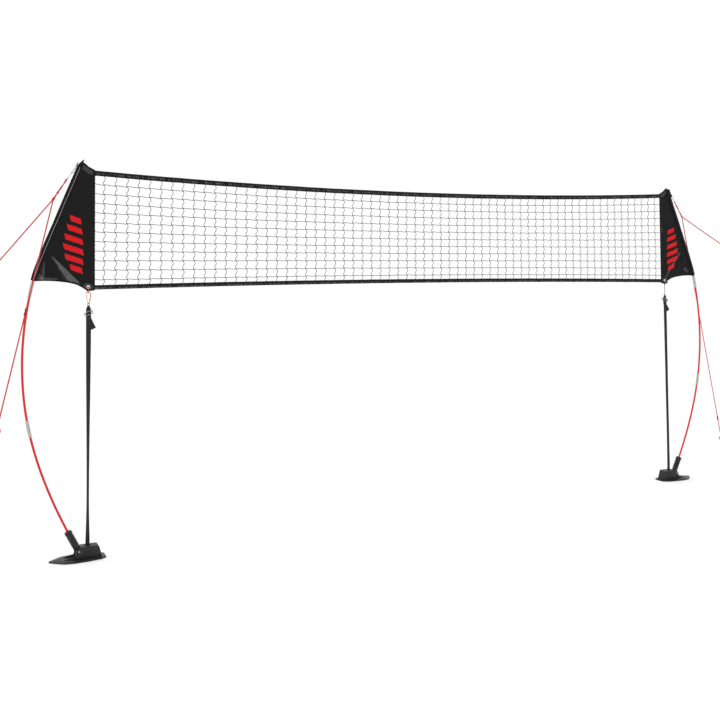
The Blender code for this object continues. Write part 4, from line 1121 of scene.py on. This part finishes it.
def build_panel_trim(label, side, edges):
    """Binding of the three edges, corner patch and tab, stitching, a painted highlight line along
    the sleeve and seam lacing.
    """
    seam, _, hem, top = edges

    def beside(edge, shares, out=0.0, up=0.0, y=0.0):
        """Path along an edge, shifted in the panel's plane and in depth."""
        return [world(side, p.x + out * MM, y * MM, p.y + up * MM) for p in map(edge, shares)]

    trim = Builder()
    trim.tube(beside(hem, steps(0.0, 1.0, 70), up=2.0), 3.4 * MM, sides=10, half_b=1.7 * MM)
    trim.tube(beside(seam, steps(0.0, 1.0, 60), out=1.0), 4.2 * MM, sides=10, half_b=1.9 * MM)
    trim.tube(beside(top, steps(0.0, 0.97, 24), up=-2.4), 3.4 * MM, sides=10, half_b=1.8 * MM)
    trim.piece(f"{label}_panel_binding", "tape", ROOT, slot="webbing")
    patches = [ring_patch(side, CORNER_PATCH, y, y + 0.55 * MM) for y in (-1.35 * MM, 0.8 * MM)]
    corner = merged_object(f"{label}_corner_patch", patches, MATS["webbing"])
    place(corner, ROOT)
    ear_points = spline([world(side, s, y * MM, h) for s, y, h in CORNER_TAB], 5)
    ear_widths = [(14.0 + 3.0 * math.sin(math.pi * t)) * (1.0 - t ** 4) * MM + 2 * MM
                  for t in steps(0, 1, len(ear_points) - 1)]
    if side < 0:
        ear_points, ear_widths = ear_points[:11], ear_widths[:11]
    ear = Builder().ribbon(ear_points, ear_widths, 1.6 * MM, [Z_AXIS] * len(ear_points))
    ear.piece(f"{label}_corner_tab", "webbing", ROOT, slot="webbing", smooth=50)
    thread = Builder()
    for y in (-1, 1):
        lift = Vector((0, y * 0.35 * MM, 0))
        stitches(thread, beside(seam, steps(0.02, 0.97, 60), out=6.5, y=y * 0.75), lift)
        stitches(thread, beside(hem, steps(0.16, 0.95, 50), up=7.5, y=y * 0.75), lift)
        sleeve_line = []
        for v in steps(0.01, 0.96, 80):
            h = SLEEVE_BOTTOM_Z + (SLEEVE_TOP_Z - SLEEVE_BOTTOM_Z) * v
            p = beside_pole(h, -(SLEEVE_HALF_WIDTH + 4.5 * MM))
            sleeve_line.append(on_pole(side, p, y * 0.8 * MM))
        stitches(thread, sleeve_line, lift)
    thread.piece(f"{label}_panel_stitching", "thread", ROOT, slot="webbing")
    # A thin tube down the front and back of the sleeve stands for the highlight on the fabric
    # stretched over the pole; its colour is painted highlight.
    highlight_line = Builder()
    for y in (-1, 1):
        ridge = []
        for h in steps(SLEEVE_BOTTOM_Z + 0.012, SLEEVE_TOP_Z - 0.020, 90):
            p = beside_pole(h, -1.5 * MM + 1.2 * MM * noise.noise(Vector((h * 20, side, y))))
            ridge.append(on_pole(side, p, y * (SLEEVE_HALF_DEPTH + 0.1 * MM)))
        highlight_line.tube(ridge, 0.95 * MM, sides=6)
    highlight_line.piece(f"{label}_sleeve_piping", f"piping_{label}", ROOT, slot="webbing")
    lacing = Builder()
    rng = random.Random(40 + side)
    for v in steps(0.015, 0.985, 32):
        p = seam(v)
        lean = rng.uniform(-1.5, 1.5) * MM
        reach = rng.uniform(2.6, 4.2) * MM
        front = [(p.x + 6 * MM, -1.6, p.y), (p.x, -2.4, p.y + lean * 0.5),
                 (p.x - reach, -1.2, p.y + lean)]
        middle = [(p.x - reach - 0.5 * MM, 0, p.y + lean)]
        loop = front + middle + [(s, -y, h) for s, y, h in reversed(front)]
        lacing.tube([world(side, s, y * MM, h) for s, y, h in loop], 1.0 * MM, sides=6)
    lacing.piece(f"{label}_seam_lacing", "tape", ROOT, slot="twine")


PATCH_SIDES, PATCH_HOLE = 48, 4.6


def ring_patch(side, outline, low, high):
    """A thin patch with a round hole at the grommet, as a ring of faces."""
    bm = bmesh.new()
    centre = Vector(GROMMET)
    outer_points, inner_points = [], []
    closed = [Vector(p) for p in outline]
    for t in circle(PATCH_SIDES):
        d = Vector((math.cos(t), math.sin(t)))
        reach = 0.012
        for a, c in zip(closed, closed[1:] + closed[:1]):
            e = c - a
            cross = d.x * e.y - d.y * e.x
            if abs(cross) < 1e-9:
                continue
            from_centre = a - centre
            r = (from_centre.x * e.y - from_centre.y * e.x) / cross
            w = (from_centre.x * d.y - from_centre.y * d.x) / cross
            if r > 0 and -1e-6 <= w <= 1 + 1e-6:
                reach = r
        outer_points.append(centre + d * reach)
        inner_points.append(centre + d * PATCH_HOLE * MM)
    loops = [[bm.verts.new(in_plane(side, p, y)) for p in points]
             for points, y in ((outer_points, low), (inner_points, low),
                               (inner_points, high), (outer_points, high))]
    for a, c in zip(loops, loops[1:] + loops[:1]):
        for k in range(PATCH_SIDES):
            n = (k + 1) % PATCH_SIDES
            bm.faces.new((a[k], a[n], c[n], c[k]))
    bmesh.ops.recalc_face_normals(bm, faces=bm.faces)
    return bm


# ---- hooks, links, buckle ---------------------------------------------------
HOOK_BODY = [(4.2, 13.0), (1.6, 7.6), (-2.2, 7.8), (-5.0, 17.0), (-8.6, 38.0), (-8.6, 45.0),
             (-4.6, 50.6), (0.8, 51.8), (5.6, 49.4), (7.9, 45.0)]
HOOK_GATE = [(8.05, 41.6), (4.75, 15.6)]
HOOK_EYE_RADIUS = 5.0


def hook_axes(direction, turn, side):
    """Across and along axes of a hook, turned about its length."""
    along = direction.normalized()
    across = Y_AXIS.cross(along).normalized() * side
    across = Matrix.Rotation(turn, 3, along) @ across
    return across, along


def build_hook(label, kind, eye, across, along, scale):
    """Snap hook: bent body, swivel barrel, round eye and sprung gate."""
    at = lambda a, b: eye + (across * a + along * b) * (scale * MM)
    normal = across.cross(along)
    path = [at(p.x, p.y) for p in spline([(a, b, 0) for a, b in HOOK_BODY], per_span=8)]
    count = len(path)
    swell = [math.sin(math.pi * min(1.0, k / (count - 1) * 1.08)) ** 0.8 for k in range(count)]
    radii = [(1.35 + 0.55 * thicker) * scale * MM for thicker in swell]
    b = Builder().tube(path, radii, sides=14)
    ring = [at(HOOK_EYE_RADIUS * math.cos(t), HOOK_EYE_RADIUS * math.sin(t)) for t in circle(40)]
    b.tube(ring, 1.4 * scale * MM, sides=12, reference=normal, closed=True)
    neck = [(1.9, 3.9), (2.6, 4.6), (2.6, 6.0), (1.9, 6.5), (1.9, 7.1), (2.9, 7.4), (2.9, 8.6),
            (2.0, 9.4)]
    b.lathe(in_mm(neck, scale), eye, along, 20, closed_profile=False)
    nose = [(0.6, -1.6), (2.0, -1.2), (2.1, 0.6), (0.8, 1.4)]
    b.lathe(in_mm(nose, scale), path[-1], tangents(path)[-1], 16, closed_profile=False)
    # The strap hook takes its side's chrome copy, tinted with a painted reflection.
    finish = f"chrome_{label}" if kind == "strap_hook" else "chrome"
    b.piece(f"{label}_{kind}_body", finish, ROOT, f"{label}_{kind}", "chrome")
    tip, hinge = (at(*end) for end in HOOK_GATE)
    gate_path = [tip.lerp(hinge, t) for t in steps(0, 1, 12)]
    gate_radii = [0.8 * scale * MM] + [1.15 * scale * MM] * 12
    g = Builder().tube(gate_path, gate_radii, sides=12)
    knob = tip.lerp(hinge, 0.30) + across * (1.6 * scale * MM)
    g.tube([knob - across * (1.4 * scale * MM), knob, knob + across * (0.9 * scale * MM)],
           [r * scale * MM for r in (1.0, 1.1, 0.8)], sides=10)
    gate = f"{label}_{kind}_gate"
    g.piece(f"{label}_{kind}_latch", finish, gate, gate, "chrome")


def build_hardware(label, side):
    """Eyelet, wire link and the two snap hooks of one end."""
    inner, barrel, flange = 4.0, 4.9, 8.0
    near, far = 1.1, 2.1
    half = [(barrel, near), (flange - 0.2, near), (flange, near + 0.3),
            (flange - 0.6, far - 0.15), (inner + 0.5, far), (inner, far - 0.5)]
    ring = [(r, -y) for r, y in reversed(half)] + half
    eyelet = Builder().lathe(in_mm(ring), in_plane(side, GROMMET), Y_AXIS, 36)
    eyelet.piece(f"{label}_eyelet", "chrome", ROOT, f"{label}_grommet", "chrome")
    radius, top, bottom = 4.4 * MM, 1.0880, 1.0645
    points = [world(side, 0, radius * math.cos(t), bend + radius * math.sin(t))
              for bend, start in ((top - radius, 0), (bottom + radius, math.pi))
              for t in steps(start, start + math.pi, 12)]
    link = Builder().tube(points, 1.2 * MM, sides=12, reference=(1, 0, 0), closed=True)
    # The link takes its side's chrome copy, tinted with a painted reflection.
    link.piece(f"{label}_ring_link", f"chrome_{label}", ROOT, f"{label}_hook_link", "chrome")
    eye = world(side, 0, 0, HOOK_EYE_H)
    across, along = hook_axes(Z_AXIS, HOOK_TURN[side], side)
    build_hook(label, "strap_hook", eye, across, along, 1.0)
    eye = in_plane(side, CLIP_EYE)
    nose = in_plane(side, CLIP_NOSE)
    across, along = hook_axes(nose - eye, math.pi / 2, side)
    build_hook(label, "guy_clip", eye, across, along, CLIP_SCALE)


BUCKLE_BARS = ((-3.95, 6.6, 1.4), (-3.95, -6.6, 1.4), (3.8, 0.0, 1.35))     # y, z, radius


def build_buckle(label, side):
    """Three-bar slide with rounded rails and round bars."""
    turn = Matrix.Rotation(side * BUCKLE_TILT, 4, "Y")
    tilt = Matrix.Translation(world(side, 0, 0, BUCKLE_H)) @ turn
    at = lambda x, y, z: tilt @ Vector((x * MM, y * MM, z * MM))
    b = Builder()
    rail = []
    for t in circle(24):
        c, s = math.cos(t), math.sin(t)
        rail.append((4.6 * math.copysign(abs(c) ** 0.5, c), 8.5 * math.copysign(abs(s) ** 0.5, s)))
    for x in (-16.05, 16.05):
        b.sweep([[at(x + dx, y * scale, z * scale) for y, z in rail]
                 for dx, scale in ((-1.45, 0.9), (-1.1, 1.0), (1.1, 1.0), (1.45, 0.9))])
    for y, z, r in BUCKLE_BARS:
        b.tube([at(x, y, z) for x in steps(-15.6, 15.6, 14)], r * MM, sides=14)
    b.piece(f"{label}_slide_buckle", "chrome", f"{label}_strap_buckle", f"{label}_strap_buckle",
            "chrome")


# ---- strap ------------------------------------------------------------------
STRAP_LAYER = 1.3 * MM
STRAP_THICKNESS = 1.4 * MM
STRAP_TOP = 0.995
TAIL_LENGTH, TAIL_LINKS = 52 * MM, 5
# Round the hook's eye: height, depth, width in millimetres, share of the hook's turn.
EYE_RISE = [(1.000, 1.6, 18.5, 0.2), (1.004, 2.1, 16, 0.5), (1.0085, 2.7, 12, 0.9)]


def strap_s(h):
    """How far out the strap stands at a height."""
    share = (BUCKLE_H - h) / (BUCKLE_H - STRAP_FOOT[1])
    return max(0.0, share) * STRAP_FOOT[0]


def strap_turn(side, h):
    """The strap's twist at a height."""
    top, peak = 0.93, 0.24
    if h >= top:
        return 0.0
    if h > peak:
        return STRAP_TWIST[side] * math.sin((top - h) / (top - peak) * math.pi / 2)
    share = (h - STRAP_FOOT[1]) / (peak - STRAP_FOOT[1])
    foot = STRAP_FOOT_TWIST[side]
    return foot + (STRAP_TWIST[side] - foot) * math.sin(max(0.0, share) * math.pi / 2)


def build_strap(label, side):
    points, widths, directions = [], [], []
    for h in steps(STRAP_FOOT[1], STRAP_TOP, 150):
        ease = min(1.0, (h - STRAP_FOOT[1]) / 0.05)
        turn = strap_turn(side, h)
        drift = 0.6 * MM * noise.noise(Vector((h * 5.0, side, 0.0)))
        drift *= ease
        drift *= clamp((0.915 - h) / 0.05)
        points.append(world(side, strap_s(h), -STRAP_LAYER * ease + drift, h))
        widths.append(STRAP_WIDTH)
        directions.append(Vector((math.cos(turn), math.sin(turn), 0)))
    turn = HOOK_TURN[side] * side
    narrow = Vector((math.cos(turn), math.sin(turn), 0))
    normal = narrow.cross(Z_AXIS)
    if normal.y < 0:
        normal = -normal
    bend = [(h, -depth, width, share) for h, depth, width, share in EYE_RISE]
    for a in (math.radians(degrees) for degrees in (15, 40, 65, 90, 115, 140, 165)):
        h = HOOK_EYE_H - 5.0 * MM + 3.0 * MM * math.sin(a)
        bend.append((h, -3.0 * math.cos(a), 6.0, 1.0))
    bend += EYE_RISE[::-1] + [(0.9935, 1.35, 20, 0.0)]
    for h, depth, width, share in bend:
        out = Y_AXIS.lerp(normal, share).normalized()
        points.append(world(side, 0, 0, h) + out * (depth * MM))
        widths.append(width * MM)
        directions.append(X_AXIS.lerp(narrow, share).normalized())
    strap = Builder().ribbon(points, widths, STRAP_THICKNESS, directions)
    strap.piece(f"{label}_tension_strap", "webbing", ROOT, f"{label}_strap", "webbing", smooth=50)
    s, pin_h = ANCHOR_PIN
    ring = 3.6 * MM
    path = [(-ring * 0.9, STRAP_FOOT[1] - 1.0 * MM), (-ring, pin_h + 8 * MM)]
    path += [(-ring * math.cos(t), pin_h - ring * math.sin(t)) for t in steps(0, math.pi, 12)]
    path += [(ring, pin_h + 8 * MM), (ring * 0.9, pin_h + 20 * MM)]
    loop = Builder().webbing([world(side, s, y, h) for y, h in path])
    loop.piece(f"{label}_sewn_loop", "webbing", f"{label}_base", f"{label}_strap_end_loop",
               "webbing", smooth=50)
    start = world(side, 0, 0, BUCKLE_H)
    marks = [start + Vector((0, STRAP_LAYER + 0.1 * MM, rise * MM)) for rise in (8, -16)]
    for k in range(1, TAIL_LINKS + 1):
        angle = TAIL_SWING[side] * min(1.0, k / 2)
        step = X_AXIS * math.sin(angle) - Vector((0, 0, math.cos(angle)))
        marks.append(marks[-1] + step * (TAIL_LENGTH / TAIL_LINKS) + Vector((0, 0.5 * MM, 0)))
    tail = Builder().webbing(spline(marks, 6), crown=0.5 * MM)
    tail.piece(f"{label}_free_tail", "webbing", f"{label}_strap_buckle", f"{label}_strap_tail",
               "webbing", smooth=50)


def build_guy_tab(label, side):
    """Doubled webbing sewn beside the peak, round the end of the small hook."""
    toward = Vector((CLIP_NOSE[0] - CLIP_EYE[0], 0, CLIP_NOSE[1] - CLIP_EYE[1])).normalized()
    centre = Vector((CLIP_EYE[0], 0, CLIP_EYE[1])) + toward * (51.6 * CLIP_SCALE * MM)
    tangent = pole_at(centre.z)[1]
    outward = Vector((tangent.z, 0, -tangent.x))
    inner, ring = SLEEVE_HALF_WIDTH + 1.2 * MM, 3.4 * MM
    outer = inner + 2.6 * MM
    path = [beside_pole(1.584, inner), beside_pole(1.571, inner),
            beside_pole(1.559, inner + 0.4 * MM)]
    widths = [10, 10, 8]
    for angle in (-10, 35, 80, 125, 170, 205):
        a = math.radians(angle)
        path.append(centre - outward * (ring * math.cos(a)) - tangent * (ring * math.sin(a)))
        widths.append(6)
    path += [beside_pole(1.563, outer + 1.2 * MM), beside_pole(1.573, outer),
             beside_pole(1.584, outer)]
    widths += [8, 10, 10]
    smooth = spline([(p.x, w * MM, p.z) for p, w in zip(path, widths)], 5)
    points = [on_pole(side, p) for p in smooth]
    tab = Builder().ribbon(points, [p.y for p in smooth], 1.2 * MM, [Y_AXIS] * len(points))
    tab.piece(f"{label}_guy_webbing", "webbing", ROOT, f"{label}_guy_tab", "webbing", smooth=50)


# ---- guy lines --------------------------------------------------------------
def knot_tube(b, centre, axis, size, radius):
    """A tight overhand knot: a trefoil of cord, flattened along the axis."""
    axis = axis.normalized()
    a = axis.orthogonal().normalized()
    c = axis.cross(a)
    points = []
    for t in circle(72):
        x = (math.sin(t) + 2 * math.sin(2 * t)) / 3
        y = (math.cos(t) - 2 * math.cos(2 * t)) / 3
        z = -math.sin(3 * t) / 2.2
        points.append(centre + (a * x + axis * y * 0.95 + c * z) * size)
    b.tube(points, radius, sides=9, closed=True)


def guy_frame(side, which):
    """Start, direction and sideways axis of a guy line."""
    out, depth = GUY_LINES[(side, which)]["run"]
    direction = Vector((side * out, depth, -KNOT[1])).normalized()
    start = in_plane(side, KNOT) + direction * (KNOT_RADIUS + 0.4 * MM)
    return start, direction, direction.cross(Z_AXIS).normalized()


def build_bridle(label, side):
    """Doubled cord round the clip's eye, with its two knots."""
    eye = in_plane(side, CLIP_EYE)
    knot = in_plane(side, KNOT)
    nose = in_plane(side, CLIP_NOSE)
    across, along = hook_axes(nose - eye, math.pi / 2, side)
    normal = across.cross(along)
    wire = eye - along * (HOOK_EYE_RADIUS * CLIP_SCALE * MM)
    direction = (knot - wire).normalized()
    length = (knot - wire).length
    spread = 2.7 * MM
    first, second = [], []
    for t in steps(0.05, 1.0, 26):
        turn = 2.2 * math.pi * t
        width = spread * (1 - 0.45 * min(1.0, t * 3))
        offset = (normal * math.cos(turn) + across * math.sin(turn)) * width
        first.append(wire + direction * (length * t) + offset)
        second.append(wire + direction * (length * t) - offset)
    over = [wire + (normal * math.cos(t) - direction * math.sin(t)) * spread
            for t in steps(0.0, math.pi, 10)]
    b = Builder().tube(first[::-1] + over + second, 1.9 * MM, sides=9)
    small = wire.lerp(knot, max(0.2, BRIDLE_KNOT_AT[side]))
    knot_tube(b, small, direction, 4.2 * MM, 1.8 * MM)
    knot_tube(b, knot, direction, 5.6 * MM, 2.1 * MM)
    b.piece(f"{label}_bridle_cord", "cord", ROOT, f"{label}_guy_bridle", "guy_cord")


LOOP_KNOT_TURNS, LOOP_KNOT_STEPS = 3.5, 56
RUNNER_HALF = [(4.05, 0.0), (4.25, 6.0), (4.8, 9.5), (4.9, 12.4), (4.4, 14.4), (3.6, 15.0),
               (2.65, 15.0)]            # radius and distance from the middle


def build_guy(label, side, which):
    """A taut line with a knotted end loop, and its runner."""
    start, direction, sideways = guy_frame(side, which)
    straight = GUY_LINES[(side, which)]["length"]
    count = min(60, max(16, round(straight / (8 * GUY_RADIUS))))
    path = [start + direction * d for d in steps(0, straight, count)]
    centre = path[-1] + direction * GUY_LOOP_RADIUS * 1.35
    for angle in range(200, 515, 15):
        a = math.radians(angle)
        reach = GUY_LOOP_RADIUS * (1.0 if math.cos(a) > -0.5 else 1.08)
        path.append(centre + direction * (reach * math.cos(a)) + sideways * (reach * math.sin(a)))
    end = start + direction * straight
    path += [end + direction * (2.0 * MM) + sideways * (3.9 * MM),
             end - direction * (3.0 * MM) + sideways * (3.4 * MM)]
    cord = Builder().tube(path, GUY_BRAID_RADIUS, sides=10).piece(
        f"{label}_{which}_guy_line", "cord", ROOT, f"{label}_guy_{which}", "guy_cord")
    middle = end + sideways * (1.7 * MM)
    up = direction.cross(sideways)
    coil = []
    for k in range(LOOP_KNOT_STEPS + 1):
        t = k / LOOP_KNOT_STEPS
        angle = 2 * math.pi * LOOP_KNOT_TURNS * t
        coil.append(middle + direction * ((-1.0 + 8.0 * t) * MM)
                    + sideways * (5.2 * MM * math.cos(angle)) + up * (3.9 * MM * math.sin(angle)))
    knot = Builder().tube(coil, 1.6 * MM, sides=8).piece(
        f"{label}_{which}_loop_knot", "cord", ROOT, slot="guy_cord")
    middle = start + direction * GUY_LINES[(side, which)]["runner"]
    profile = [(r, -a) for r, a in reversed(RUNNER_HALF[1:])] + RUNNER_HALF
    runner = Builder().lathe(in_mm(profile), middle, direction, 28)
    for a in (-11.0, 11.0):
        ring = [(4.7, a - 0.9), (5.15, a - 0.5), (5.15, a + 0.5), (4.7, a + 0.9)]
        runner.lathe(in_mm(ring), middle, direction, 28)
    body = f"{label}_runner_{which}"
    runner.piece(f"{label}_{which}_line_runner", "runner", body, body, "runner")


# ---- assembly ---------------------------------------------------------------
LAMPS = (("key", (-3.5, -4.0, 5.0), 0.9, 22.0), ("fill", (4.0, -5.0, 4.0), 1.2, 8.0))
LAMP_TARGET = Vector((0, 0, 0.8))


def aimed(direction):
    return direction.to_track_quat("-Z", "Y").to_euler()


def build_stage():
    """Pale floor, white surroundings and soft lamps."""
    bpy.ops.mesh.primitive_plane_add(size=60, location=(0, 6, -0.0005))
    floor = bpy.context.object
    floor.name = "floor"
    m = Shader("floor", (0.93, 0.93, 0.93), 0.9, specular_ior_level=0.05)
    m.link(m.mix(m.noise(3.0, 3.0), (0.928, 0.928, 0.928), (0.934, 0.934, 0.934)), "Base Color")
    floor.data.materials.append(m.material)
    scene_world = bpy.data.worlds.new("studio")
    bpy.context.scene.world = scene_world
    scene_world.use_nodes = True
    background = scene_world.node_tree.nodes["Background"]
    background.inputs[0].default_value = (1.0, 1.0, 1.0, 1.0)
    background.inputs[1].default_value = 1.01
    for name, location, size, power in LAMPS:
        light = bpy.data.lights.new(name, "AREA")
        light.size = size
        light.energy = power
        lamp = linked(name, light)
        lamp.location = location
        lamp.rotation_euler = aimed(LAMP_TARGET - Vector(location))
    sun = bpy.data.lights.new("soft_sun", "SUN")
    sun.energy = 0.36
    sun.angle = 0.6
    linked("soft_sun", sun).rotation_euler = aimed(Vector((0.55, -0.35, -1.0)))


def build_camera():
    data = bpy.data.cameras.new("camera")
    data.lens = CAMERA_LENS
    data.sensor_width = 36.0
    data.shift_y = CAMERA_SHIFT_Y
    camera = linked("camera", data)
    forward = Vector((math.sin(CAMERA_YAW), math.cos(CAMERA_YAW), 0))
    right = Vector((math.cos(CAMERA_YAW), -math.sin(CAMERA_YAW), 0))
    rolled_right = right * math.cos(CAMERA_ROLL) + Z_AXIS * math.sin(CAMERA_ROLL)
    rolled_up = Z_AXIS * math.cos(CAMERA_ROLL) - right * math.sin(CAMERA_ROLL)
    matrix = Matrix((rolled_right, rolled_up, -forward)).transposed().to_4x4()
    matrix.translation = Vector(CAMERA_PLACE)
    camera.matrix_world = matrix
    bpy.context.scene.camera = camera
    bpy.context.scene.view_settings.view_transform = "Standard"


def main():
    build_camera()
    build_stage()
    build_net()
    build_tapes()
    for label, side in SIDES.items():
        build_poles(label, side)
        build_base(label, side)
        build_boot(label, side)
        sheet, edges = build_panel(label, side)
        build_sleeve(label, side)
        build_panel_trim(label, side, edges)
        build_hardware(label, side)
        build_buckle(label, side)
        build_strap(label, side)
        build_guy_tab(label, side)
        build_bridle(label, side)
        for which in ("front", "back"):
            build_guy(label, side, which)
        for node, key in (("shock_cord", "elastic"), ("strap_anchor_pin", "steel")):
            materials = frame["nodes"][f"{label}_{node}"].data.materials
            materials.clear()
            materials.append(MATS[key])


main()
